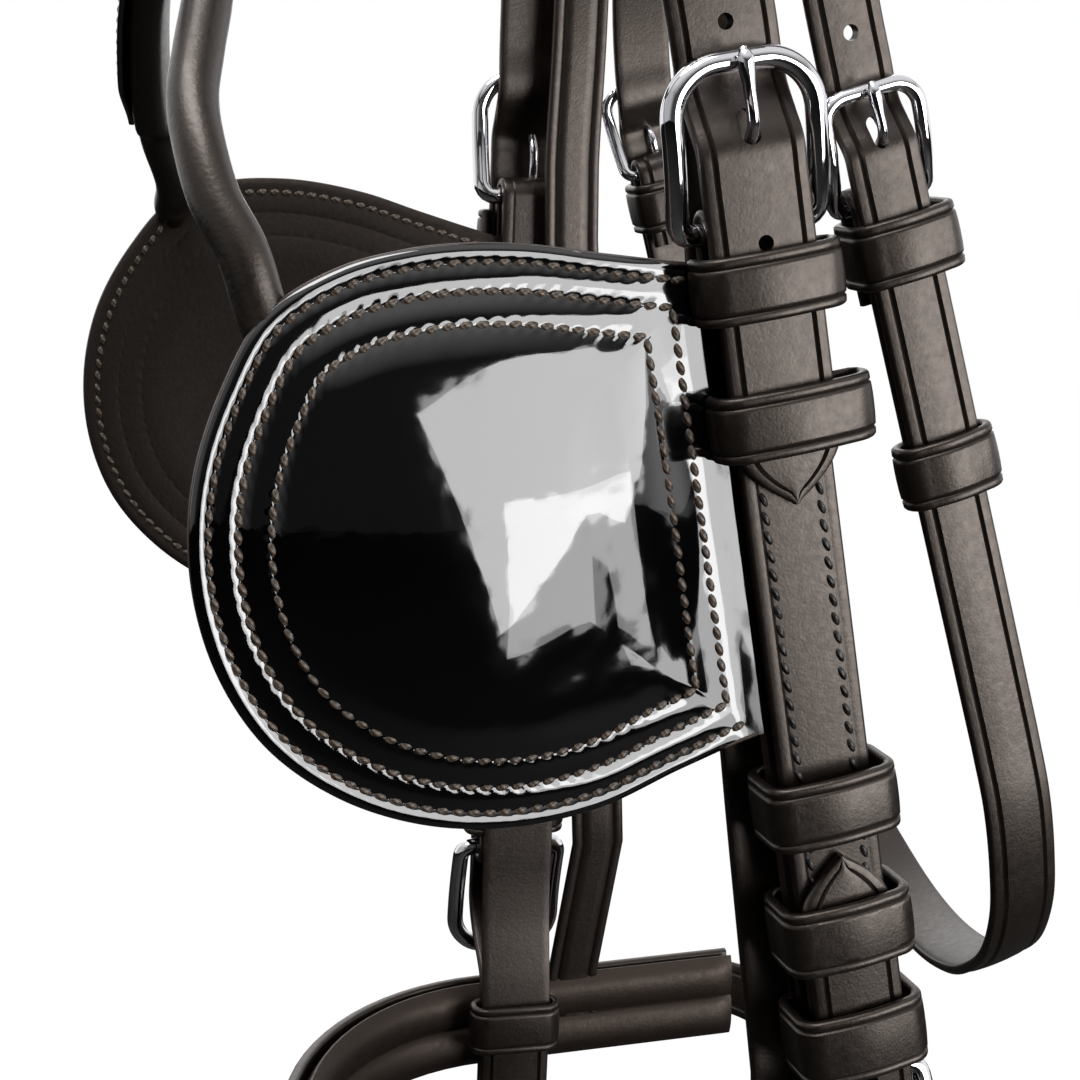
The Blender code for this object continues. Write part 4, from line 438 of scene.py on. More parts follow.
def polished_metal(name, colour, roughness, scratch_mm):
    """Plated or rolled metal with hairline wear."""
    made, tree, on_object = new_material(name)
    hair = add_node(tree, 'ShaderNodeTexNoise', {"Scale": 1 / (scratch_mm * MM), "Detail": 6.0}, on_object)
    rough = add_node(tree, 'ShaderNodeMapRange',
                     {"From Min": 0.35, "From Max": 0.75, "To Min": roughness, "To Max": roughness * 2.4},
                     {"Value": (hair, "Fac")})
    bump = add_node(tree, 'ShaderNodeBump', {"Strength": 0.06, "Distance": 0.05 * MM},
                    {"Height": (hair, "Fac")})
    shader_output(tree, {"Base Color": linear(colour), "Metallic": 1.0},
                  {"Roughness": (rough, "Result"), "Normal": (bump, "Normal")})
    return made


def stage_material(name, colour):
    """Paper that the camera sees as white, with a faint shadow, and the lacquer as a dim floor."""
    made, tree, on_object = new_material(name)
    path = add_node(tree, 'ShaderNodeLightPath')
    paper = add_node(tree, 'ShaderNodeBsdfDiffuse', {"Color": linear(colour)})
    away = add_node(tree, 'ShaderNodeVectorMath', {"operation": 'LENGTH'}, {0: on_object["Vector"]})
    level = add_node(tree, 'ShaderNodeMapRange',
                     {"From Min": SHADOW_FROM, "From Max": SHADOW_TO, "To Min": SHADOW_SHARE, "To Max": 1.0},
                     {"Value": (away, "Value")})
    white = add_node(tree, 'ShaderNodeMath', {"operation": 'MULTIPLY'},
                     {0: (path, "Is Camera Ray"), 1: (level, "Result")})
    glow = add_node(tree, 'ShaderNodeEmission', {"Color": WHITE}, {"Strength": (white, "Value")})
    mixed = add_node(tree, 'ShaderNodeAddShader', None, {0: (paper, "BSDF"), 1: (glow, "Emission")})
    add_node(tree, 'ShaderNodeOutputMaterial', None, {"Surface": (mixed, "Shader")})
    return made


def finishes():
    """Every finish of the bridle, made once."""
    if "Bridle leather" in bpy.data.materials:
        return bpy.data.materials
    tones = bpy.context.scene.bridle_colours
    grained_leather("Bridle leather", tones.leather, 0.30, 0.43, 0.55, 0.055, wax=0.25)
    grained_leather("Rolled leather", tones.leather, 0.33, 0.46, 0.75, 0.10, wax=0.40)
    grained_leather("Lining leather", tones.lining, 0.60, 0.78, 0.80, 0.08)
    grained_leather("Padding leather", tones.padding, 0.42, 0.58, 0.90, 0.08)
    grained_leather("Burnished edge", tones.edge, 0.45, 0.62, 0.40, 0.04)
    patent_leather("Patent leather", tones.patent)
    # The lighter thread is the black thread with painted sheen in its colour; the black thread keeps its own
    # colour.
    waxed_thread("Thread lightened as sheen", tones.thread)
    waxed_thread("Black thread", tones.seam)
    polished_metal("Chrome plate", tones.chrome, 0.035, 3.0)
    polished_metal("Blinker steel", "8c8c8c", 0.30, 1.0)
    return bpy.data.materials


# Handling objects

def only(made):
    """Select one object alone and make it active."""
    bpy.ops.object.select_all(action='DESELECT')
    made.select_set(True)
    bpy.context.view_layer.objects.active = made


def new_mesh_object(name, bm):
    """A bmesh as an object, its faces pointing outwards."""
    bmesh.ops.recalc_face_normals(bm, faces=bm.faces)
    mesh = bpy.data.meshes.new(name)
    bm.to_mesh(mesh)
    bm.free()
    made = bpy.data.objects.new(name, mesh)
    bpy.context.collection.objects.link(made)
    return made


def put_on(made, finish, body, nodes=(), smooth_deg=SMOOTH_LEATHER):
    """Give a finished piece its finish, its body and the CAD nodes that it stands for."""
    only(made)
    bpy.ops.object.transform_apply(location=True, rotation=True, scale=True)
    bpy.ops.object.shade_smooth_by_angle(angle=math.radians(smooth_deg))
    if not made.data.materials:
        made.data.materials.append(finishes()[finish])
    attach(made, body)
    if nodes:
        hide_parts(*nodes)
    return made


def cut_with(target, tools):
    """Cut punched holes through a piece."""
    only(target)
    for tool in tools:
        step = target.modifiers.new("Punch", 'BOOLEAN')
        step.operation = 'DIFFERENCE'
        step.solver = 'EXACT'
        step.object = tool
        bpy.ops.object.modifier_apply(modifier=step.name)
    for tool in tools:
        bpy.data.objects.remove(tool, do_unlink=True)


def piece(name, bm, nodes=(), finish="Bridle leather", body="bridle", matrix=None,
          smooth_deg=SMOOTH_LEATHER, holes=()):
    """A finished piece from a bmesh, put on its station and punched."""
    if matrix is not None:
        bmesh.ops.transform(bm, matrix=matrix, verts=bm.verts)
    made = new_mesh_object(name, bm)
    cut_with(made, holes)
    return put_on(made, finish, body, nodes, smooth_deg)


# Stations: the frame of each buckle bar, mirrored for the far side

def station(origin, lean_deg, side):
    """Near-handed coordinates on a bar, as a matrix."""
    place = Matrix.Translation((side * origin[0], origin[1], origin[2]))
    return place @ Matrix.Rotation(math.radians(lean_deg), 4, 'X') @ Matrix.Diagonal((side, 1, 1, 1))


def upper_station(side):
    return station((CHEEK_SPAN, CHEEK_BAR_Y[side], CHEEK_BAR_Z[side]), CHEEK_LEAN_DEG[side], side)


def lower_station(side):
    return (upper_station(side) @ Matrix.Translation((0.0, 0.0, -CHEEK_LENGTH))
            @ Matrix.Rotation(math.radians(180.0), 4, 'X'))


def throat_station(side):
    return station((THROAT_SPAN, THROAT_BAR_Y[side], THROAT_BAR_Z[side]), THROAT_LEAN_DEG[side], side)


def stay_axes():
    lean = math.radians(STAY_LEAN_DEG)
    return Vector((0.0, -math.cos(lean), math.sin(lean))), Vector((0.0, math.sin(lean), math.cos(lean)))


def stay_station():
    out, up = stay_axes()
    turn = Matrix((out, up.cross(out), up)).transposed().to_4x4()
    return Matrix.Translation(STAY_BAR) @ turn


def chin_station():
    bar_x = NOSE_HALF + NOSE_PAD_T + CLEAR + NOSE_STRAP_T / 2 - NOSE_BUCKLE.turn_x
    backward = Matrix(((1, 0, 0), (0, 0, 1), (0, -1, 0))).to_4x4()
    return Matrix.Translation((bar_x, NOSE_REAR, NOSE_Z)) @ backward


# Paths

def smooth_path(points, per_span=8):
    """A smooth curve through the given points, whatever their spacing."""
    points = [Vector(p) for p in points]
    gaps = [(b - a).length for a, b in zip(points, points[1:])]
    slopes = []
    for i, p in enumerate(points):
        if i == 0 or i == len(points) - 1:
            j = min(i, len(gaps) - 1)
            slopes.append((points[j + 1] - points[j]) / gaps[j])
        else:
            before, after = gaps[i - 1], gaps[i]
            back = (p - points[i - 1]) / before
            ahead = (points[i + 1] - p) / after
            slopes.append((back * after + ahead * before) / (before + after))
    curve = []
    for i, gap in enumerate(gaps):
        for k in range(per_span):
            t = k / per_span
            curve.append((2 * t ** 3 - 3 * t ** 2 + 1) * points[i]
                         + (t ** 3 - 2 * t ** 2 + t) * gap * slopes[i]
                         + (3 * t ** 2 - 2 * t ** 3) * points[i + 1]
                         + (t ** 3 - t ** 2) * gap * slopes[i + 1])
    curve.append(points[-1])
    return curve


def even_steps(path, step=3.0 * MM):
    """The same path with points at an even spacing, its corners kept."""
    fine = []
    for a, b in zip(path, path[1:]):
        parts = max(1, round((b - a).length / step))
        fine += [a.lerp(b, k / parts) for k in range(parts)]
    return fine + [path[-1]]


def arc_points(radius, start_deg, end_deg, steps, middle=(0.0, 0.0)):
    """Points (x, z) of an arc in a strap's side view."""
    arc = []
    for i in range(steps + 1):
        angle = math.radians(start_deg + (end_deg - start_deg) * i / steps)
        arc.append((middle[0] + radius * math.cos(angle), middle[1] + radius * math.sin(angle)))
    return arc


def lift_side_view(points):
    return [Vector((x, 0.0, z)) for x, z in points]


def headings(path, closed=False):
    """Direction of a path at each of its points."""
    count = len(path)
    found = []
    for i in range(count):
        if closed:
            ahead, behind = path[(i + 1) % count], path[i - 1]
        else:
            ahead, behind = path[min(i + 1, count - 1)], path[max(i - 1, 0)]
        found.append((ahead - behind).normalized())
    return found


def distances(path):
    run = [0.0]
    for a, b in zip(path, path[1:]):
        run.append(run[-1] + (b - a).length)
    return run


def whole_length(path, closed=False):
    return distances(path)[-1] + ((path[0] - path[-1]).length if closed else 0.0)


def find_span(run, at, index):
    """Where a distance falls on a path: the index of its span, searched from one on, and the share of it."""
    while index < len(run) - 2 and run[index + 1] < at:
        index += 1
    return index, (at - run[index]) / max(1e-9, run[index + 1] - run[index])


def fade(value, start, end):
    """0 before start, 1 after end, smooth between."""
    t = max(0.0, min(1.0, (value - start) / (end - start)))
    return t * t * (3 - 2 * t)


# Straps: a creased cross section carried along a path. A curve's bevel can't hold the crease lines
# while the strap narrows to its point, so these are made in mesh code.

def strap_section(half_w, half_t, front=True, back=False, dome=None, full_w=None):
    """Cross section of a strap: rounded edges, creased lines and a low dome on its front."""
    full_w = full_w or half_w
    sizes = bpy.context.scene.bridle_sizes
    dome = sizes.strap_dome if dome is None else dome
    depth = min(sizes.crease_depth, 0.32 * half_t)
    inset = min(sizes.crease_inset, 0.42 * full_w)
    round_r = min(0.62 * half_t, 0.6 * half_w)

    def face_line(creased, raised):
        """Places across and heights of one face, from the middle outwards."""
        flat = half_w - round_r
        at = max(0.30 * flat, half_w - inset)
        soft = min(0.60 * MM, 0.30 * at)
        sharp = 0.36 * soft
        raised = raised * min(1.0, half_w / full_w)
        sunk = depth if creased else 0.0
        return [(0.0, raised), (0.45 * (at - soft), raised * 0.92), (at - soft, raised * 0.60),
                (at - sharp, -0.50 * sunk + (0.0 if creased else 0.5 * raised)), (at, -sunk),
                (at + sharp, -0.50 * sunk), (at + min(soft, 0.5 * (flat - at)), 0.15 * raised), (flat, 0.0)]

    edge = []
    for k in range(1, 8):
        angle = math.pi / 2 - math.pi * k / 8
        edge.append((half_w - round_r + round_r * math.cos(angle), half_t * math.sin(angle)))
    top = [(a, half_t + b) for a, b in sorted(face_line(front, dome))]
    low = [(a, -half_t - b) for a, b in sorted(face_line(back, 0.0), reverse=True)]
    right = top + edge + low
    left = [(-a, b) for a, b in reversed(right) if a > 1e-7]
    return right + left


def path_frames(path, across, closed=False, face_sign=-1, level=False):
    """Frames along a path: place, direction across the strap and direction that its front faces."""
    total = whole_length(path, closed)
    frames = []
    for centre, heading, here in zip(path, headings(path, closed), distances(path)):
        side = Vector(across(here / total) if callable(across) else across)
        if level:
            heading = Vector((heading.x, 0.0, heading.z)).normalized()
        side = (side - heading * side.dot(heading)).normalized()
        frames.append((centre, side, side.cross(heading) * face_sign))
    return frames


def join_rings(bm, rings, closed=False, ends=(0, -1)):
    """Faces from each ring of points to the next, and over the rings that are ends."""
    pairs = list(zip(rings, rings[1:]))
    if closed:
        pairs.append((rings[-1], rings[0]))
    for a, b in pairs:
        for i in range(len(a)):
            j = (i + 1) % len(a)
            bm.faces.new((a[i], a[j], b[j], b[i]))
    for end in ends:
        bm.faces.new(rings[end])


def carry(section, path, across=ACROSS, width=None, thick=None, closed=False, face_sign=-1, level=False):
    """A bmesh of a section carried along a path."""
    bm = bmesh.new()
    total = whole_length(path, closed)
    rings = []
    for (centre, side, face), here in zip(path_frames(path, across, closed, face_sign, level),
                                          distances(path)):
        outline = section(here, total) if callable(section) else section
        wide = width(here, total) if width else 1.0
        deep = thick(here, total) if thick else 1.0
        rings.append([bm.verts.new(centre + side * (a * wide) + face * (b * deep)) for a, b in outline])
    join_rings(bm, rings, closed, () if closed else (0, -1))
    return bm


def pointed(tip):
    """Width of a strap whose far end is cut to a rounded point."""
    def width(here, total):
        left = total - here
        if left >= tip:
            return 1.0
        t = left / tip
        return max(0.05, (1 - (1 - t) ** 1.7) ** 0.95)
    return width


def pointed_section(strap_w, strap_t, tip):
    """Section of a strap with a cut point, whose creases follow the cut and meet before the end."""
    width = pointed(tip)

    def section(here, total):
        return strap_section(strap_w / 2 * width(here, total), strap_t / 2, full_w=strap_w / 2)
    return section


def tip_steps(path, tip):
    """Closer points in the tip, so that its outline is smooth."""
    run = distances(path)
    end = path[-1]
    body = [p for p, here in zip(path, run) if run[-1] - here > tip]
    turn = body[-1]
    heading = (end - turn).normalized()
    last = [end - heading * (tip * share) for share in
            (1.0, 0.9, 0.8, 0.7, 0.6, 0.5, 0.4, 0.3, 0.22, 0.15, 0.09, 0.045, 0.015, 0.0)]
    return body + last


# Stitches

def stitch_pattern():
    """One pulled stitch: a small barrel, modelled once."""
    bpy.ops.object.select_all(action='DESELECT')
    bpy.ops.mesh.primitive_uv_sphere_add(segments=8, ring_count=6, radius=1.0)
    made = bpy.context.active_object
    made.rotation_euler = (0.0, math.radians(90.0), 0.0)
    bpy.ops.object.transform_apply(location=True, rotation=True, scale=True)
    points = [v.co.copy() for v in made.data.vertices]
    faces = [tuple(f.vertices) for f in made.data.polygons]
    bpy.data.objects.remove(made, do_unlink=True)
    return points, faces


def add_stitches(bm, pattern, line, normals, pitch, width, slant_deg=9.0, length_share=0.80):
    """A row of stitches along a line that lies on a surface."""
    points, faces = pattern
    run = distances(line)
    count = max(1, int(run[-1] / pitch))
    step = run[-1] / count
    index = 0
    for k in range(count):
        at = (k + 0.5) * step
        index, share = find_span(run, at, index)
        centre = line[index].lerp(line[index + 1], share)
        normal = normals[index].lerp(normals[index + 1], share).normalized()
        along = (line[index + 1] - line[index]).normalized()
        along = (along - normal * along.dot(normal)).normalized()
        side = normal.cross(along)
        lean = math.radians(slant_deg)
        forward = along * math.cos(lean) + side * math.sin(lean)
        cross = normal.cross(forward)
        long_half = step * length_share / 2
        verts = [bm.verts.new(centre + forward * (p.x * long_half) + cross * (p.y * width / 2)
                              + normal * (p.z * width * STITCH_HIGH - STITCH_SAG * width * p.x * p.x
                                          + STITCH_OUT * width))
                 for p in points]
        for f in faces:
            bm.faces.new([verts[i] for i in f])


def face_line(frames, first, last, run, across_at, face_at):
    """A line on a strap's face, between two distances along it, with its normals."""
    line = []
    normals = []
    for (centre, side, face), here in zip(frames, run):
        if first <= here <= last:
            line.append(centre + side * across_at + face * face_at)
            normals.append(face)
    return line, normals


# Buckles

def bend_wire(name, points, radii, station_matrix):
    """A closed wire of round section along points, made as a curve and turned into a mesh."""
    bpy.ops.object.select_all(action='DESELECT')
    bpy.ops.curve.primitive_nurbs_path_add(radius=1.0, location=(0.0, 0.0, 0.0))
    made = bpy.context.active_object
    made.name = name
    curve = made.data
    curve.splines.clear()
    line = curve.splines.new('POLY')
    line.points.add(len(points) - 1)
    for point, (place, radius) in zip(line.points, zip(points, radii)):
        point.co = (*(station_matrix @ Vector(place)), 1.0)
        point.radius = radius / radii[0]
    line.use_cyclic_u = True
    curve.dimensions = '3D'
    curve.bevel_depth = radii[0]
    curve.bevel_resolution = 5
    bpy.ops.object.convert(target='MESH')
    made = bpy.context.active_object
    made.data.materials.clear()
    only(made)
    bpy.ops.object.mode_set(mode='EDIT')
    bpy.ops.mesh.select_all(action='SELECT')
    bpy.ops.mesh.remove_doubles(threshold=0.01 * MM)
    bpy.ops.mesh.normals_make_consistent(inside=False)
    bpy.ops.object.mode_set(mode='OBJECT')
    return made


def frame_line(sizes):
    """Middle line of a buckle's frame, from one foot over the top to the other and along the bar."""
    half = sizes.half_inner + sizes.wire_r
    top = sizes.top_z
    foot = FOOT_SHARE * half
    plan = [(sizes.half_inner - sizes.wire_r * 1.2, 0.0)]
    plan += arc_points(foot, -90, 0, 5, (half - foot, foot))
    low, high = foot, top - sizes.corner
    plan += [(half, low + (high - low) * k / 8) for k in range(1, 8)]
    plan += arc_points(sizes.corner, 0, 90, 14, (half - sizes.corner, top - sizes.corner))
    plan += [(y * (half - sizes.corner), top) for y in (0.5, 0.0, -0.5)]
    plan += arc_points(sizes.corner, 90, 180, 14, (-half + sizes.corner, top - sizes.corner))
    plan += [(-half, high + (low - high) * k / 8) for k in range(1, 8)]
    plan += arc_points(foot, 180, 270, 5, (-half + foot, foot))
    plan += [(-sizes.half_inner + sizes.wire_r * 1.2, 0.0)]
    plan += [(y * sizes.half_inner, 0.0) for y in (-0.6, -0.2, 0.2, 0.6)]
    points = []
    radii = []
    for i, (y, z) in enumerate(plan):
        lift = math.sin(math.pi / 2 * min(1.0, z / (RISE_SHARE * top)))
        points.append((sizes.rise * lift, y, z))
        radii.append(sizes.bar_r if i > len(plan) - 5 else sizes.wire_r)
    return points, radii


def make_frame(name, sizes, matrix):
    """Chromed frame, bent from round wire."""
    points, radii = frame_line(sizes)
    made = bend_wire(name + "_frame", points, radii, matrix)
    return put_on(made, "Chrome plate", "bridle", [name + "_buckle_frame"], SMOOTH_METAL)


def make_tongue(name, body, sizes, matrix):
    """Chromed tongue: rolled round the bar, through the hole, its end dressed over the frame."""
    leave, dive, out, over = TONGUE_SHARES
    tall = sizes.top_z
    r = sizes.tongue_r
    wrap = arc_points(sizes.wrap_r, 90, 352, 16)
    shaft = [(sizes.wrap_r, leave * tall), (sizes.wrap_r, dive * tall),
             (sizes.tongue_x, out * tall), (sizes.tongue_x, over * tall),
             (sizes.tongue_x, tall - 0.4 * sizes.wire_r),
             (sizes.tongue_x - 0.10 * r, tall + 0.5 * sizes.wire_r),
             (sizes.tongue_x - 0.45 * r, tall + 0.95 * sizes.wire_r)]
    line = wrap[:-1] + [(p.x, p.z) for p in smooth_path(lift_side_view(shaft), 5)]
    path = [Vector((x, 0.0, z)) for x, z in line]
    section = [(math.cos(math.radians(20 * k)), math.sin(math.radians(20 * k))) for k in range(18)]

    def width(here, total):
        left = total - here
        full = 0.74 + 0.30 * (1 - fade(left, 2.0 * r, 5.0 * r))
        return r * full * (0.55 + 0.45 * fade(left, 0.0, 1.3 * r))

    def thick(here, total):
        wrapped = math.radians(262) * sizes.wrap_r
        grown = sizes.wrap_half + (0.92 * r - sizes.wrap_half) * fade(here, wrapped + 0.45 * tall,
                                                                     wrapped + 0.62 * tall)
        return grown * (0.5 + 0.5 * fade(total - here, 0.0, 1.6 * r))

    bm = carry(section, path, width=width, thick=thick, face_sign=1)
    return piece(name + "_tongue", bm, [name + "_buckle_tongue"], "Chrome plate", body, matrix, SMOOTH_METAL)


# Keepers

def keeper_section(half_h, half_t):
    """Cross section of a keeper: rounded edges, a creased line along both, a full middle."""
    points = []
    inset = 2.1 * MM
    depth = 0.40 * MM
    round_r = 0.75 * half_t
    flat = half_h - round_r
    line = [(0.0, 0.30 * MM), (0.35 * flat, 0.27 * MM), (0.62 * flat, 0.18 * MM)]
    line = [p for p in line if p[0] < half_h - inset - 0.9 * MM]
    line += [(half_h - inset - 0.5 * MM, 0.14 * MM), (half_h - inset - 0.18 * MM, -0.4 * depth),
             (half_h - inset, -depth), (half_h - inset + 0.18 * MM, -0.4 * depth),
             (half_h - inset + 0.5 * MM, 0.06 * MM)]
    points = [(a, half_t + b) for a, b in sorted(line)]
    for k in range(0, 9):
        angle = math.pi / 2 - math.pi * k / 8
        points.append((half_h - round_r + round_r * math.cos(angle), half_t * math.sin(angle)))
    points.append((0.0, -half_t))
    return points + [(-a, b) for a, b in reversed(points) if a > 1e-7]


def rounded_loop(half_w, low_x, high_x, grow, corner, centre_y, bow):
    """Plan of a keeper's middle line round its strap, its front a little bowed."""
    points = []
    corners = ((high_x + grow, centre_y + half_w + grow, 0), (low_x - grow, centre_y + half_w + grow, 90),
               (low_x - grow, centre_y - half_w - grow, 180), (high_x + grow, centre_y - half_w - grow, 270))
    radius = corner + grow
    for x, y, start in corners:
        inward_x = -radius if x > (low_x + high_x) / 2 else radius
        inward_y = -radius if y > centre_y else radius
        points += arc_points(radius, start, start + 90, 6, (x + inward_x, y + inward_y))
    last, first = points[-1], points[0]
    for i in range(1, 12):
        t = i / 12
        points.append((last[0] + bow * math.sin(math.pi * t), last[1] + (first[1] - last[1]) * t))
    return points


def make_loop_keeper(name, body, matrix, sizes, low_x, room, top, tall, wall, centre_y=0.0):
    """A keeper that closes round a strap and its billet."""
    high = sizes.billet_face + CLEAR
    plan = rounded_loop(sizes.billet_w / 2 + room, low_x, high, wall / 2, LOOP_CORNER, centre_y, KEEPER_BOW)
    path = [Vector((x, y, -top - tall / 2)) for x, y in plan]
    return piece(name.replace("keeper", "loop").replace("runner", "slider"),
                 carry(keeper_section(tall / 2, wall / 2), path, UP, closed=True), [name],
                 body=body, matrix=matrix)


def make_bridge_keeper(name, matrix, top, back):
    """A keeper sewn in at the blinker and under the cheek's back edge."""
    sizes = CHEEK_BUCKLE
    middle = sizes.billet_w / 2 + KEEPER_SIDE + KEEPER_T / 2
    rear = middle + back
    lift = sizes.billet_face + CLEAR + KEEPER_T / 2
    foot = SEAM_HALF_T + 2 * CLEAR + FOOT_PLAY
    tab = sizes.turn_x - sizes.strap_t / 2 - CLEAR / 2 - TAB_T / 2
    bend = LOOP_CORNER + KEEPER_T / 2 + 0.8 * MM
    plan = [(foot, -middle), ((foot + lift - bend) / 2, -middle - 0.3 * MM)]
    plan += arc_points(bend, -90, 0, 6, (lift - bend, -middle + bend))
    for k in range(1, 12):
        t = k / 12
        plan.append((lift + KEEPER_BOW * math.sin(math.pi * t),
                     -middle + bend + (rear + middle - 2 * bend) * t))
    plan += arc_points(bend, 0, 90, 6, (lift - bend, rear - bend))
    plan += [((lift - bend + tab + TAB_T) / 2, rear), (tab + TAB_T * 1.4, rear), (tab, rear - 1.5 * TAB_T),
             (tab, sizes.strap_w / 2 - SEAM_DEPTH)]
    path = [Vector((x, y, -top - KEEPER_H / 2)) for x, y in plan]
    skive = distances(path)[-3]
    share = TAB_T / KEEPER_T
    bm = carry(keeper_section(KEEPER_H / 2, KEEPER_T / 2), path, UP,
               thick=lambda here, total: 1 - (1 - share) * fade(here, skive - 2.0 * MM, skive))
    return piece(name.replace("keeper", "loop"), bm, [name], matrix=matrix)


# Billets and punched holes

def punch_tool(matrix, x, y, z, radius, deep, long=0.0):
    """Cutter of one hole across a strap, round or drawn out along the strap."""
    bpy.ops.object.select_all(action='DESELECT')
    bpy.ops.mesh.primitive_cylinder_add(vertices=24, radius=radius, depth=deep,
                                        rotation=(0.0, math.radians(90.0), 0.0))
    made = bpy.context.active_object
    bpy.ops.object.transform_apply(location=True, rotation=True, scale=True)
    for v in made.data.vertices:
        if long and v.co.z > 0:
            v.co.z += long
    made.data.transform(matrix @ Matrix.Translation((x, y, z)))
    return made


def tongue_hole_z(sizes):
    dive, out = TONGUE_SHARES[1:3]
    share = (sizes.billet_face - sizes.wrap_r) / (sizes.tongue_x - sizes.wrap_r)
    return (dive + (out - dive) * share) * sizes.top_z


def tongue_hole(matrix, sizes, deep, long=3.0 * MM):
    """Cutter of the hole that the tongue goes through, drawn out by the tongue's pull."""
    return punch_tool(matrix, sizes.billet_x, 0.0, tongue_hole_z(sizes) - 0.3 * MM,
                      sizes.tongue_r + HOLE_ROOM, deep, long)


def turn_slot(matrix, sizes):
    """Cutter of the tongue's slot in the turn of a thin strap."""
    return punch_tool(matrix, 0.0, 0.0, -2.5 * MM, sizes.tongue_r + SLOT_ROOM, 12 * MM, 6.0 * MM)


def billet_dip(sizes):
    start, middle, end = DIP_SHARES
    tall = sizes.top_z
    return [(sizes.billet_x, start * tall), ((sizes.billet_x + sizes.under_x) / 2, middle * tall),
            (sizes.under_x, end * tall)]


def make_billet(name, sizes, root, tip, matrix, nodes, holes):
    """A billet from the crown's end through its buckle to its point."""
    behind = Vector((sizes.under_x, 0.0, LEVEL_SHARE * sizes.top_z))
    points = [root, root.lerp(behind, 0.5), behind] + lift_side_view(reversed(billet_dip(sizes)))
    points += lift_side_view([(sizes.billet_x, FLAT_SHARE * sizes.top_z), (sizes.billet_x, -tip)])
    bend = root.y / (root.z - sizes.top_z)
    for p in points[1:3]:
        p.y = bend * max(0.0, p.z - sizes.top_z)
    path = smooth_path(points[:-1]) + [points[-1]]
    path = tip_steps(even_steps(path), TIP_L)
    bm = carry(pointed_section(sizes.billet_w, sizes.billet_t, TIP_L), path,
               thick=lambda here, total: ROOT_THIN + (1 - ROOT_THIN) * fade(here, BILLET_ROOT,
                                                                          BILLET_ROOT + 3.0 * MM))
    deep = 4 * sizes.billet_t
    tools = []
    for z in holes:
        above = max(0.0, z - sizes.top_z)
        x = sizes.billet_x
        if above:
            x = sizes.under_x + (root.x - sizes.under_x) * above / (root.z - sizes.top_z)
        tools.append(punch_tool(matrix, x, bend * above, z, PUNCH_R, deep))
    tools.append(tongue_hole(matrix, sizes, deep))
    return piece(name, bm, nodes, matrix=matrix, smooth_deg=SMOOTH_PUNCHED, holes=tools)


def billet_y(side, z):
    return CHEEK_BAR_Y[side] - (z - CHEEK_BAR_Z[side]) * math.tan(math.radians(BILLET_LEAN_DEG[side]))


def throat_y(side, z):
    return THROAT_BAR_Y[side] - (z - THROAT_BAR_Z[side]) * math.tan(math.radians(THROAT_BILLET_DEG[side]))


def crown_y(share):
    """The crown lies slightly askew, so that each end meets its own billets."""
    middle = {side: (billet_y(side, CROWN_END_Z) + throat_y(side, CROWN_END_Z)) / 2 for side in (NEAR, FAR)}
    offset = (CHEEK_BUCKLE.billet_w - THROAT_BUCKLE.billet_w) / 4
    ends = {side: middle[side] - offset for side in (NEAR, FAR)}
    return (ends[NEAR] + ends[FAR]) / 2 * abs(share) + (ends[NEAR] - ends[FAR]) / 2 * share


def crown_width(share):
    """Full width: wide on the poll, drawn in behind the ears, then as wide as its two billets."""
    away = abs(2 * share - 1)
    if away < 0.5:
        return CROWN_POLL_W + (CROWN_EAR_W - CROWN_POLL_W) * fade(away, 0.0, 0.5)
    return CROWN_EAR_W + (CROWN_END_W - CROWN_EAR_W) * fade(away, 0.5, 1.0)


def crown_path(offset, end_deg, drop, step_deg=2.5):
    """Path over the poll, from the near end to the far one."""
    reach = SEAT_HALF + offset
    steps = round((180 - 2 * end_deg) / step_deg)
    points = []
    for i in range(steps + 1):
        angle = math.radians(end_deg + (180 - 2 * end_deg) * i / steps)
        points.append(Vector((reach * math.cos(angle), crown_y(math.cos(angle)),
                              -SEAT_DROP + (SEAT_DROP + offset) * math.sin(angle))))
    if drop:
        points.insert(0, Vector((reach, crown_y(1), drop)))
        points.append(Vector((-reach, crown_y(-1), drop)))
    return points


def root_on_bar(bar, lean_deg, end_x, y):
    offset = Vector((end_x, y, CROWN_END_Z + BILLET_ROOT)) - Vector(bar)
    return Matrix.Rotation(math.radians(-lean_deg), 3, 'X') @ offset


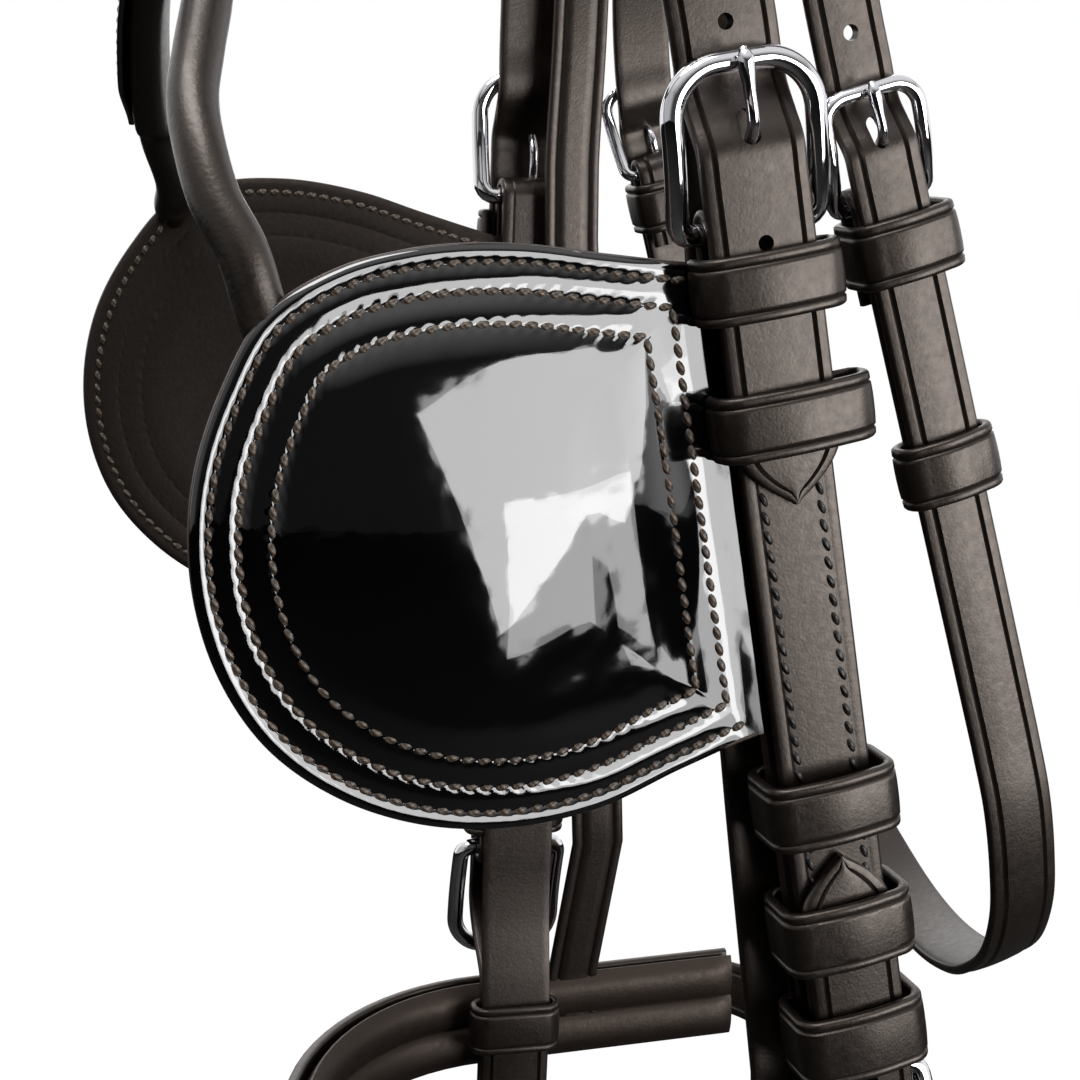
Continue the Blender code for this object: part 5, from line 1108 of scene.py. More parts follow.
class BRIDLE_OT_crown(bpy.types.Operator):
    """Crown, its four billets, its pad, and the noseband's headstrap"""
    bl_idname = "bridle.make_crown"
    bl_label = "Crown and billets"

    def execute(self, context):
        offset = PAD_T + CLEAR + HEAD_T + CLEAR + CROWN_T / 2
        bm = carry(strap_section(CROWN_POLL_W / 2, CROWN_T / 2), crown_path(offset, 0.0, CROWN_END_Z),
                   level=True, width=lambda here, total: crown_width(here / total) / CROWN_POLL_W)
        piece("crown", bm, ["crown_strap"])
        root_z = CROWN_END_Z + BILLET_ROOT
        for side, name in SIDES:
            for kind, sizes, bar, lean, y, tip, matrix, steps in (
                    ("cheek", CHEEK_BUCKLE, (CHEEK_SPAN, CHEEK_BAR_Y[side], CHEEK_BAR_Z[side]),
                     CHEEK_LEAN_DEG, billet_y, CHEEK_TIP, upper_station(side), (1, 2, -1)),
                    ("throat", THROAT_BUCKLE, (THROAT_SPAN, THROAT_BAR_Y[side], THROAT_BAR_Z[side]),
                     THROAT_LEAN_DEG, throat_y, THROAT_TIP, throat_station(side), (1, -1))):
                root = root_on_bar(bar, lean[side], SEAT_HALF + offset, y(side, root_z))
                holes = [tongue_hole_z(sizes) + HOLE_STEP * step for step in steps]
                make_billet(f"{name}_{kind}_billet", sizes, root, tip, matrix, ["crown_strap"], holes)
        self.pad()
        self.headstrap()
        return {'FINISHED'}

    def pad(self):
        """Soft pad under the crown: full in the middle, its ends thinned and closed."""
        def from_end(here, total):
            return min(here, total - here)

        bm = carry(pad_section(CROWN_POLL_W / 2, PAD_T / 2 - 0.1 * MM, 2),
                   crown_path(PAD_T / 2, PAD_END_DEG, 0.0), level=True,
                   width=lambda here, total: (crown_width(here / total) / CROWN_POLL_W
                                              * (0.80 + 0.20 * fade(from_end(here, total), 0.0, 6.0 * MM))),
                   thick=lambda here, total: 0.18 + 0.82 * fade(from_end(here, total), -1.0 * MM, 11.0 * MM))
        made = piece("crown_padding", bm, ["crown_pad"], "Lining leather")

    def headstrap(self):
        """Long strap that hangs the noseband, under the crown and down inside both cheeks."""
        offset = PAD_T + CLEAR + HEAD_T / 2
        out_x = SEAT_HALF + offset
        pocket_x = NOSE_HALF + NOSE_PAD_T / 2
        legs = []
        for side in (NEAR, FAR):
            y = dict(zip(HEAD_Z, HEAD_Y[side]))
            beside, middle, low, end = HEAD_Z
            under = NOSE_Z + NOSE_W / 2
            leg = [(pocket_x, y[end], end), (pocket_x, y[end], under - POCKET_DEPTH / 3),
                   (pocket_x, y[end], under + CLEAR)]
            slope = [(HEAD_IN, y[low], low), (HEAD_IN, y[middle], middle), (HEAD_IN, y[beside], beside)]
            for k, share in enumerate(HEAD_SLOPE_SHARES, 1):
                at = k / (len(HEAD_SLOPE_SHARES) + 1)
                slope.append((HEAD_IN + (out_x - HEAD_IN) * share,
                              y[beside] + (crown_y(side) - y[beside]) * at,
                              beside + (HEAD_TOP_Z - beside) * at))
            legs.append([Vector((side * px, py, pz)) for px, py, pz in leg]
                        + smooth_path([(side * px, py, pz) for px, py, pz in slope], 6))
        path = legs[0] + crown_path(offset, 0.0, 0.0) + list(reversed(legs[1]))
        bm = carry(strap_section(HEAD_W / 2, HEAD_T / 2, dome=0.15 * MM), path, level=True)
        piece("headstrap", bm, ["noseband_headstrap"])


def pad_section(half_w, half_t, rolls):
    """Cross section of a padded strap: its seen face in soft rolls, its back nearly flat."""
    points = []
    count = 12 * rolls
    for k in range(count + 1):
        a = -half_w + 2 * half_w * k / count
        roll = abs(math.sin(math.pi * rolls * k / count)) ** 0.55
        edge = (1 - abs(a / half_w) ** 8)
        points.append((a * 0.995, -half_t * (0.30 + 0.70 * roll) * max(0.12, edge)))
    for k in range(9):
        a = half_w - 2 * half_w * k / 8
        edge = (1 - abs(a / half_w) ** 6)
        points.append((a * 0.985, half_t * max(0.15, edge)))
    return list(reversed(points))


class BRIDLE_OT_cheeks(bpy.types.Operator):
    """Doubled cheeks with their stitching, filler and keepers"""
    bl_idname = "bridle.make_cheeks"
    bl_label = "Cheeks and keepers"

    def execute(self, context):
        sizes = CHEEK_BUCKLE
        details = context.scene.bridle_sizes
        pattern = stitch_pattern()
        for side, name in SIDES:
            matrix = upper_station(side)
            x = sizes.turn_x
            path = [(-x, -CHEEK_TURN)] + arc_points(x, 180, 0, 18)
            path += arc_points(x, 0, -180, 18, (0.0, -CHEEK_LENGTH)) + [(-x, -CHEEK_LENGTH + CHEEK_TURN)]
            path = even_steps(lift_side_view(path), 2.0 * MM)
            bm = carry(strap_section(sizes.strap_w / 2, sizes.strap_t / 2, front=False, dome=0.2 * MM), path)
            slots = [self.slot_tool(matrix, sizes), self.slot_tool(lower_station(side), BIT_BUCKLE)]
            piece(name + "_cheek", bm, [name + "_cheek_strap"], matrix=matrix, smooth_deg=SMOOTH_PUNCHED,
                  holes=slots)
            stitches = bmesh.new()
            frames = path_frames(path, ACROSS)
            run = distances(path)
            turned = CHEEK_TURN + math.pi * x
            for row in (-1, 1):
                line, normals = face_line(frames, turned + 7.0 * MM, turned + CHEEK_LENGTH - 7.0 * MM, run,
                                          row * (sizes.strap_w / 2 - 4.0 * MM), sizes.strap_t / 2 + 0.1 * MM)
                add_stitches(stitches, pattern, line, normals, details.cheek_pitch,
                             details.thread_width * 0.85, slant_deg=19.0, length_share=0.86)
            self.lining(name, matrix, sizes, stitches, pattern, details)
            piece(name + "_cheek_stitches", stitches, (), "Black thread", matrix=matrix,
                  smooth_deg=SMOOTH_THREAD)
            for i, top in enumerate(KEEPER_TOP):
                make_bridge_keeper(f"{name}_cheek_keeper_{i + 1}", matrix, top, KEEPER_BACK[i])
            for i, top in enumerate(KEEPER_LOW):
                make_loop_keeper(f"{name}_cheek_keeper_{i + 3}", "bridle", matrix, sizes,
                                 -sizes.strap_face - CLEAR, KEEPER_SIDE, top, KEEPER_LOW_H[i], KEEPER_T)
        return {'FINISHED'}

    def slot_tool(self, matrix, sizes):
        """Cutter of the tongue's slot in a cheek's turn."""
        bpy.ops.object.select_all(action='DESELECT')
        bpy.ops.mesh.primitive_cylinder_add(vertices=32, radius=sizes.tongue_r + 0.5 * MM, depth=16 * MM)
        made = bpy.context.active_object
        made.rotation_euler = (0.0, math.radians(90.0), 0.0)
        bpy.ops.object.transform_apply(location=True, rotation=True, scale=True)
        for v in made.data.vertices:
            v.co.z += 4.6 * MM if v.co.z > 0 else -3.4 * MM
        made.data.transform(matrix)
        return made

    def lining(self, name, matrix, sizes, stitches, pattern, details):
        """Inner ply with the filler on it, as one edge-burnished piece."""
        half = sizes.strap_w / 2
        inner = -sizes.strap_face
        floor = -sizes.turn_x + sizes.strap_t / 2
        fill = sizes.bar_r + CLEAR - 2 * CLEAR - TAB_T
        step = -half + SEAM_DEPTH + 1.1 * MM
        ply_top = -CHEEK_TURN - CLEAR
        ply_end = -CHEEK_LENGTH - ply_top
        soft = 0.7 * MM
        section = [(-half + soft, inner), (-half + 0.2 * soft, inner + 0.2 * soft), (-half, inner + soft),
                   (-half, floor - soft), (-half + soft, floor), (step, floor), (step, fill),
                   (half - soft, fill), (half - 0.2 * soft, fill - 0.2 * soft), (half, fill - soft),
                   (half, inner + soft), (half - 0.2 * soft, inner + 0.2 * soft), (half - soft, inner)]
        path = even_steps([Vector((0.0, 0.0, ply_top)), Vector((0.0, 0.0, ply_end))], 4.0 * MM)
        bm = bmesh.new()
        rings = [[bm.verts.new((b, a, p.z)) for a, b in section] for p in path]
        join_rings(bm, rings)
        piece(name + "_cheek_ply", bm, [name + "_cheek_lining"], "Burnished edge", matrix=matrix)
        for row in (-1, 1):
            line = [Vector((inner, row * (half - 2.7 * MM), p.z)) for p in path]
            add_stitches(stitches, pattern, line, [Vector((-1.0, 0.0, 0.0))] * len(line),
                         details.cheek_pitch, details.thread_width, slant_deg=10.0, length_share=0.72)


class BRIDLE_OT_bit_straps(bpy.types.Operator):
    """Bit straps, each with its loop for the bit and the keeper at the noseband"""
    bl_idname = "bridle.make_bit_straps"
    bl_label = "Bit straps"

    def execute(self, context):
        sizes = BIT_BUCKLE
        half_t = sizes.billet_t / 2
        out_x = -BIT_IN
        in_x = out_x - sizes.billet_t - CLEAR
        for side, name in SIDES:
            matrix = lower_station(side)
            path = tip_steps(even_steps(self.route(sizes, out_x, in_x), 2.5 * MM), TIP_L)
            bm = carry(pointed_section(sizes.billet_w, sizes.billet_t, TIP_L), path)
            deep = 4 * sizes.billet_t
            spare = punch_tool(matrix, sizes.billet_x, 0.0, tongue_hole_z(sizes) - HOLE_STEP, PUNCH_R, deep)
            piece(name + "_bit_billet", bm, [name + "_bit_strap"], matrix=matrix,
                  smooth_deg=SMOOTH_PUNCHED, holes=[spare, tongue_hole(matrix, sizes, deep)])
            self.backing(name, matrix, in_x)
            low_x = in_x - half_t - CLEAR
            high_x = out_x + half_t + CLEAR
            plan = rounded_loop(sizes.billet_w / 2 + KEEPER_SIDE, low_x, high_x, NOSE_LOOP_T / 2,
                                LOOP_CORNER, 0.0, 0.2 * MM)
            path = [Vector((x, y, BIT_HANG + NOSE_LOOP_H / 2)) for x, y in plan]
            piece(name + "_noseband_keeper",
                  carry(keeper_section(NOSE_LOOP_H / 2, NOSE_LOOP_T / 2), path, UP, closed=True),
                  [name + "_noseband_loop"], matrix=matrix)
        return {'FINISHED'}

    def route(self, sizes, out_x, in_x):
        """Side view of the strap: from its inner end round the bit's loop and up to its point."""
        dip = [(out_x + (sizes.billet_x - out_x) * share, at * BIT_HANG) for share, at in BIT_DIP_SHARES]
        drop = smooth_path(lift_side_view([(sizes.billet_x, FLAT_SHARE * sizes.top_z)] + dip), 6)
        r = BIT_LOOP_R + sizes.billet_t / 2
        centre_z = BIT_LOOP_END - r
        low_z = centre_z - 2.2 * r
        loop = [(out_x, low_z), (out_x + 0.22 * r, low_z + 0.8 * r)]
        loop += arc_points(r, -30, 210, 27, ((out_x + in_x) / 2, centre_z))
        loop += [(in_x - 0.22 * r, low_z + 0.8 * r), (in_x, low_z), (in_x, BIT_PLY_END)]
        path = lift_side_view([(sizes.billet_x, -BIT_TIP)]) + drop + lift_side_view(loop)
        return list(reversed(path))

    def backing(self, name, matrix, in_x):
        """Smooth leather behind the buckle, seen between its frame's legs from inside."""
        start = -BIT_BUCKLE.strap_face - CLEAR - KEEPER_T - BACKING_T / 2 - CLEAR / 2
        points = [(start + (in_x - start) * share, at) for share, at in zip(BACKING_SHARES, BACKING_PLACES)]
        path = even_steps(smooth_path(lift_side_view(points), 6))
        bm = carry(strap_section(BIT_BUCKLE.strap_w / 2, BACKING_T / 2), path, face_sign=1)
        piece(name + "_buckle_backing", bm, matrix=matrix, smooth_deg=SMOOTH_PUNCHED)


# Blinkers

def blinker_point(share):
    half = CHEEK_BUCKLE.strap_w / 2
    return Vector((-half - share[0] * BLINKER_L, BLINKER_TOP - share[1] * BLINKER_H))


def blinker_front():
    """Dense free edge of the blinker, from the seam's top round the front to its foot."""
    line = smooth_path([blinker_point(share) for share in BLINKER_OUTLINE_SHARES], 16)
    return [Vector((p.x, p.y)) for p in line]


def edge_normals(line):
    """Inward normals of the free edge."""
    found = []
    for i in range(len(line)):
        heading = (line[min(i + 1, len(line) - 1)] - line[max(i - 1, 0)]).normalized()
        found.append(Vector((-heading.y, heading.x)))
    return found


def ring_at(line, normals, inset, front_y):
    """One closed ring: the free edge moved in, closed by a straight line at the cheek."""
    moved = [p + n * inset for p, n in zip(line, normals)]
    inside = [i for i, p in enumerate(moved) if p.x <= front_y]
    first, last = inside[0], inside[-1]
    trimmed = moved[first:last + 1]
    if first > 0:
        a, b = moved[first - 1], moved[first]
        trimmed.insert(0, a.lerp(b, (a.x - front_y) / max(1e-9, a.x - b.x)))
    if last < len(moved) - 1:
        a, b = moved[last], moved[last + 1]
        trimmed.append(a.lerp(b, (front_y - a.x) / max(1e-9, b.x - a.x)))
    run = distances(trimmed)
    ring = []
    index = 0
    for k in range(RIM_POINTS):
        at = run[-1] * k / (RIM_POINTS - 1)
        index, share = find_span(run, at, index)
        ring.append(trimmed[index].lerp(trimmed[index + 1], min(1.0, share)))
    for k in range(1, SEAM_POINTS + 1):
        ring.append(trimmed[-1].lerp(trimmed[0], k / (SEAM_POINTS + 1)))
    return ring, run[-1]


def flex_body(y):
    """0 in the seam at the cheek, 1 in the blinker's own body."""
    half = CHEEK_BUCKLE.strap_w / 2
    return fade(-y, half + FLEX_FLAT / 2, half + 2 * FLEX_FLAT)


def middle_height(p):
    """Height of the blinker's middle surface over the cheek's plane."""
    start = FLEX_LINE + FLEX_FLAT / 2
    run = max(0.0, (-p.x - start) / (BLINKER_L - start))
    centre = blinker_point(DOME_CENTRE_SHARES)
    away = (((p.x - centre.x) / (DOME_REACH_SHARES[0] * BLINKER_L)) ** 2
            + ((p.y - centre.y) / (DOME_REACH_SHARES[1] * BLINKER_H)) ** 2)
    return FLARE * run + BULGE * max(0.0, 1 - away) ** 1.5


def ring_table():
    """Insets of the rings, closer together at the stitch rows, with the puffed height there."""
    table = []
    low = 0.0
    front_low = SEAM_EDGE
    for row, (inset, front) in enumerate(zip(ROW_INSETS, ROW_FRONTS)):
        for k in range(ROW_STEPS):
            t = 0.5 - 0.5 * math.cos(math.pi * k / ROW_STEPS)
            puff = math.sin(math.pi * t) ** 0.75
            lift = 0.62 * puff - 0.25 if row or t > 0.5 else 0.62 * puff - 0.25 * fade(t, 0.0, 0.5)
            table.append((low + (inset - low) * t, front_low + (front - front_low) * t, lift * MM))
        low, front_low = inset, front
    table.append((low, front_low, -0.25 * MM))
    for k in range(1, ROW_STEPS + 1):
        t = k / ROW_STEPS
        table.append((low + 9.0 * MM * t ** 1.4, front_low - 9.0 * MM * t ** 1.4, -0.25 * MM))
    return table


def panel_lift(p, inset, t):
    """Height that the padding gives a place: rising over the rows, and flatter towards the cheek."""
    from_cheek = -p.x - CHEEK_BUCKLE.strap_w / 2
    rise = 1.2 * min(1.0, max(0.0, inset - ROW_INSETS[0]) / (ROW_INSETS[2] - ROW_INSETS[0]))
    panel = 0.9 * math.sin(math.pi / 2 * t) ** 0.8
    return (rise + panel) * MM * (0.12 + 0.88 * fade(from_cheek, 10 * MM, 52 * MM))


class BRIDLE_OT_blinkers(bpy.types.Operator):
    """Patent cover, lining and stitch rows of both blinkers"""
    bl_idname = "bridle.make_blinkers"
    bl_label = "Blinkers"

    def execute(self, context):
        details = context.scene.bridle_sizes
        pattern = stitch_pattern()
        line = blinker_front()
        normals = edge_normals(line)
        table = ring_table()
        rings = [ring_at(line, normals, inset, front) for inset, front, _ in table]
        for side, name in SIDES:
            matrix = upper_station(side) @ Matrix.Translation((0.0, 0.0, -BLINKER_DROP[side]))
            body = name + "_blinker"
            cover, cover_rows = self.ply(rings, table, 1, details.blinker_pitch)
            piece(body + "_patent", cover, [body + "_cover"], "Patent leather", body, matrix, SMOOTH_METAL)
            lining, lining_rows = self.ply(rings, table, -1, details.blinker_pitch)
            piece(body + "_backing", lining, [body + "_lining"], "Lining leather", body, matrix,
                  SMOOTH_METAL)
            piece(body + "_rim", self.rim(line, normals), (), "Burnished edge", body, matrix)
            stitches = bmesh.new()
            for rows, sign in ((cover_rows, 1), (lining_rows[:1], -1)):
                for points, directions in rows:
                    add_stitches(stitches, pattern, points, directions, details.blinker_pitch,
                                 details.thread_width, slant_deg=13.0 * sign, length_share=0.96)
            piece(body + "_stitches", stitches, (), "Thread lightened as sheen", body, matrix, SMOOTH_THREAD)
            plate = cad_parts[name + "_blinker_plate"]
            plate.data.materials.clear()
            plate.data.materials.append(finishes()["Blinker steel"])
        return {'FINISHED'}

    def rim(self, line, normals):
        """The cut edges of both plies, dyed and rubbed round."""
        half_t = (COVER_T + LINING_T) / 2 - 0.42 * MM
        path = []
        for p, n in zip(line, normals):
            edge = p + n * 0.35 * MM
            if edge.x < -CHEEK_BUCKLE.strap_w / 2 - 2 * MM:
                path.append(Vector((middle_height(edge) + 0.18 * MM, edge.x, edge.y)))
        section = []
        for k in range(16):
            c, s = math.cos(math.pi * k / 8), math.sin(math.pi * k / 8)
            section.append((math.copysign(abs(c) ** 0.6, c) * half_t,
                            math.copysign(abs(s) ** 0.8, s) * 0.55 * MM))
        return carry(section, path, (1.0, 0.0, 0.0), face_sign=1)

    def ply(self, rings, table, sign, pitch):
        """One ply, its seen face puffed and its hidden face plain, with the rows for its stitches."""
        bm = bmesh.new()
        surface = [self.seen_ring(number, ring, run, row, sign, round(run / pitch))
                   for number, ((ring, run), row) in enumerate(zip(rings, table))]
        last = surface[-1]
        centre = sum(last, Vector()) / len(last)
        seen = surface + [self.panel_ring(last, centre, share, sign) for share in PANEL_SHARES]
        hidden = []
        for index in (0, ROW_STEPS, 2 * ROW_STEPS, 3 * ROW_STEPS, len(rings) - 1):
            apart = PLATE_ROOM * fade(table[index][0], ROW_INSETS[1], ROW_INSETS[2] + 6 * MM)
            hidden.append([Vector((middle_height(p) + sign * (CLEAR / 2 + apart * flex_body(p.x)), p.x, p.y))
                           for p in rings[index][0]])
        for share in (0.6, 0.2):
            flats = [Vector((q.y, q.z)).lerp(Vector((centre.y, centre.z)), 1 - share) for q in last]
            hidden.append([Vector((middle_height(p) + sign * (CLEAR / 2 + PLATE_ROOM), p.x, p.y))
                           for p in flats])
        sheets = [[[bm.verts.new(p) for p in ring] for ring in stack] for stack in (seen, hidden)]
        for sheet in sheets:
            join_rings(bm, sheet, ends=(-1,))
        join_rings(bm, [sheets[1][0], sheets[0][0]], ends=())
        rows = []
        for number in (1, 2, 3):
            ring = surface[number * ROW_STEPS]
            rows.append([p for p in ring[:RIM_POINTS] if p.y < ROWS_FROM])
            if number > 1:
                rows.append(ring[RIM_POINTS - 1:] + ring[:1])
        return bm, [(row, [Vector((sign, 0.0, 0.0))] * len(row)) for row in rows]

    def seen_ring(self, number, ring, run, row, sign, count):
        """One ring of the seen face: puffed between the rows and rippled by the stitches beside it."""
        inset, _, lift = row
        full, puff = PLIES[sign]
        into = max(0.0, (number - 3 * ROW_STEPS) / ROW_STEPS)
        near_row = min(abs(inset - at) for at in ROW_INSETS)
        apart = PLATE_ROOM * fade(inset, ROW_INSETS[1], ROW_INSETS[2] + 6 * MM)
        thick = full - 0.35 * MM * (1 - fade(inset, 0.0, 1.2 * MM))
        found = []
        for k, p in enumerate(ring):
            at = run * min(k, RIM_POINTS - 1) / (RIM_POINTS - 1)
            free = fade(min(at, run - at), 0.0, 9.0 * MM) if k < RIM_POINTS else 0.0
            body = flex_body(p.x)
            puffed = puff * (lift * (0.14 + 0.86 * free) + panel_lift(p, inset, into))
            ripple = 0.0
            if near_row < RIPPLE_REACH and k < RIM_POINTS:
                wave = math.cos(2 * math.pi * count * k / RIM_POINTS)
                ripple = RIPPLE * wave * (1 - near_row / RIPPLE_REACH)
            out = apart * body + SEAM_HALF_T + (thick - SEAM_HALF_T + puffed + ripple) * body
            found.append(Vector((middle_height(p) + sign * out, p.x, p.y)))
        return found

    def panel_ring(self, last, centre, share, sign):
        """One ring of the panel inside the rows, drawn in towards its middle."""
        full, puff = PLIES[sign]
        found = []
        for q in last:
            flat = Vector((q.y, q.z)).lerp(Vector((centre.y, centre.z)), 1 - share)
            out = PLATE_ROOM + full + puff * (panel_lift(flat, ROW_INSETS[2], 1.0) - 0.25 * MM)
            edge = q.x - middle_height(Vector((q.y, q.z)))
            blend = fade(share, 0.55, 1.0)
            height = middle_height(flat) + sign * out * (1 - blend) + edge * blend
            found.append(Vector((height, flat.x, flat.y)))
        return found


# Winker stay

def blinker_corner(side):
    flat = blinker_point(STAY_CORNER_SHARES)
    start = FLEX_LINE + FLEX_FLAT / 2
    lean = FLARE * max(0.0, (-flat.x - start) / (BLINKER_L - start))
    world = Matrix.Rotation(math.radians(CHEEK_LEAN_DEG[side]), 3, 'X') @ Vector(
        (lean, flat.x, flat.y - BLINKER_DROP[side]))
    return Vector((CHEEK_SPAN + world.x, CHEEK_BAR_Y[side] + world.y, CHEEK_BAR_Z[side] + world.z))


class BRIDLE_OT_stay(bpy.types.Operator):
    """Rolled arms of the winker stay, the strap between them and its billet"""
    bl_idname = "bridle.make_stay"
    bl_label = "Winker stay"

    def execute(self, context):
        for side, name in SIDES:
            self.arm(side, name)
        sizes = STAY_BUCKLE
        matrix = stay_station()
        path = [(-sizes.turn_x, -STAY_TURN)] + arc_points(sizes.turn_x, 180, 0, 16)
        path += [(sizes.turn_x, -STAY_LENGTH / 2), (sizes.turn_x, -STAY_LENGTH - ARM_FLAT_W / 2)]
        path = even_steps(lift_side_view(path), 2.0 * MM)
        bm = carry(strap_section(sizes.strap_w / 2, sizes.strap_t / 2), path)
        piece("stay_middle", bm, ["stay_strap"], matrix=matrix)
        self.billet(matrix)
        return {'FINISHED'}

    def arm(self, side, name):
        """Leather rolled round a core, flat where it is sewn under the middle strap."""
        out, up = stay_axes()
        sizes = STAY_BUCKLE
        under = sizes.turn_x - sizes.strap_t / 2 - CLEAR - ARM_FLAT_T / 2
        end = Vector(STAY_BAR) - up * STAY_LENGTH + out * under
        corner = blinker_corner(side)
        route = [Vector(p) for p in ARM_ROUTE[side]]
        inward = (corner - route[1]).normalized()
        start = [corner + inward * 7.0 * MM + Vector((-4.6 * MM, 0.0, 0.0)),
                 corner + inward * 1.0 * MM + Vector((-3.4 * MM, 0.0, 0.0))]
        path = even_steps(smooth_path(start + route + [Vector((ARM_GAP, end.y, end.z))], 10), 1.5 * MM)
        run = distances(path)
        bm = bmesh.new()
        rings = []
        for p, heading, here in zip(path, headings(path), run):
            across, face = self.lie(heading)
            flat, thin = self.shape(p, side)
            close = 1 - fade(here, -0.5 * MM, 4.0 * MM)
            wide = ROLL_R * (1 - 0.35 * close) + (ARM_FLAT_W / 2 - ROLL_R) * flat
            thick = ROLL_R * (1 - 0.55 * close) + (ARM_BOX_T / 2 - ROLL_R) * flat
            thick += (ARM_FLAT_T / 2 - thick) * thin
            ring = []
            for k in range(ROLL_SIDES):
                angle = 2 * math.pi * k / ROLL_SIDES
                power = 1.0 - 0.45 * flat
                c, s = math.cos(angle), math.sin(angle)
                a = math.copysign(abs(c) ** power, c) * wide
                b = math.copysign(abs(s) ** power, s) * thick
                point = p + across * a + face * b
                ring.append(bm.verts.new((side * point.x, point.y, point.z)))
            rings.append(ring)
        join_rings(bm, rings)
        made = self.bending(name + "_rolled_arm", bm, "Rolled leather", side, name, corner)
        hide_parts(name + "_stay_arm")
        self.cover(side, name, path, corner)

    def lie(self, heading):
        """How the arm's flat part lies: (direction across it, direction that it faces)."""
        across = heading.cross(stay_axes()[0]).normalized()
        return across, across.cross(heading)

    def shape(self, p, side):
        """How far the arm has turned from a roll into a box, and from that into a thin end."""
        top = ARM_ROLL_TOP[side]
        return fade(p.z, top, top + 4.0 * MM), fade(-p.x, -26.0 * MM, -14.0 * MM)

    def bending(self, label, bm, finish, side, name, corner):
        """A piece of the arm, given its finish and smooth shading, its place baked into its mesh."""
        made = new_mesh_object(label, bm)
        only(made)
        bpy.ops.object.shade_smooth_by_angle(angle=math.radians(SMOOTH_ARM))
        made.data.materials.append(finishes()[finish])
        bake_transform(made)
        return made

    def cover(self, side, name, path, corner):
        """Patent strap sewn over the front of the arm."""
        mirror = Matrix.Diagonal((side, 1, 1))
        frames = []
        for p, heading in zip(path, headings(path)):
            if self.shape(p, side) == (1.0, 0.0):
                across, face = self.lie(heading)
                middle = p + face * (ARM_BOX_T / 2 + ARM_COVER_T / 2 + CLEAR / 2)
                frames.append([mirror @ v for v in (middle, across, face)])
        line = [middle for middle, across, face in frames]

        def across_at(share):
            return frames[round(share * (len(frames) - 1))][1]

        def taper(here, total):
            return 0.5 + 0.5 * fade(here, 0.0, ARM_TAPER)

        bm = carry(strap_section(ARM_COVER_W / 2, ARM_COVER_T / 2, front=False, dome=0.2 * MM), line,
                   across_at, face_sign=-side, width=taper)
        self.bending(name + "_arm_cover", bm, "Patent leather", side, name, corner)
        details = bpy.context.scene.bridle_sizes
        stitches = bmesh.new()
        pattern = stitch_pattern()
        for row in (-1, 1):
            places = []
            for (p, across, face), here in zip(frames, distances(line)):
                aside = row * (ARM_COVER_W / 2 * taper(here, 0.0) - 2.6 * MM)
                places.append(p + across * aside + face * (ARM_COVER_T / 2 + 0.1 * MM))
            add_stitches(stitches, pattern, places, [face for middle, across, face in frames],
                         details.blinker_pitch, details.thread_width * 0.8)
        self.bending(name + "_arm_stitches", stitches, "Thread lightened as sheen", side, name, corner)

    def billet(self, matrix):
        sizes = STAY_BUCKLE
        top = PAD_T + HEAD_T + CROWN_T + 3 * CLEAR + sizes.billet_t / 2
        front = CROWN_POLL_W / 2
        local = [(sizes.billet_x, -STAY_TIP), (sizes.billet_x, FLAT_SHARE * sizes.top_z)] + billet_dip(sizes)
        local += [(sizes.under_x, LEVEL_SHARE * sizes.top_z)]
        low = [matrix @ Vector((x, 0.0, z)) for x, z in local]
        high = [Vector((0.0, -front - 16 * sizes.billet_t / 2.2, top * 0.35)),
                Vector((0.0, -front - sizes.billet_t, top - CLEAR)), Vector((0.0, -front * 0.55, top)),
                Vector((0.0, front * 0.2, top))]
        path = [low[0]] + smooth_path(low[1:] + high)
        path.reverse()
        path = tip_steps(even_steps(path, 2.0 * MM), SMALL_TIP_L)
        bm = carry(pointed_section(sizes.billet_w, sizes.billet_t, SMALL_TIP_L), path, (1.0, 0.0, 0.0),
                   face_sign=1)
        piece("stay_crown_billet", bm, ["stay_billet"], smooth_deg=SMOOTH_PUNCHED,
              holes=[tongue_hole(matrix, sizes, THIN_CUT, 2.4 * MM)])


def brow_edges(side):
    rows = (BROW_Z + BROW_W / 2, BROW_Z - BROW_W / 2)
    front = min(billet_y(side, z) for z in rows) - CHEEK_BUCKLE.billet_w / 2
    back = max(throat_y(side, z) for z in rows) + THROAT_BUCKLE.billet_w / 2
    return front - BROW_LOOP_ROOM, back + BROW_LOOP_ROOM


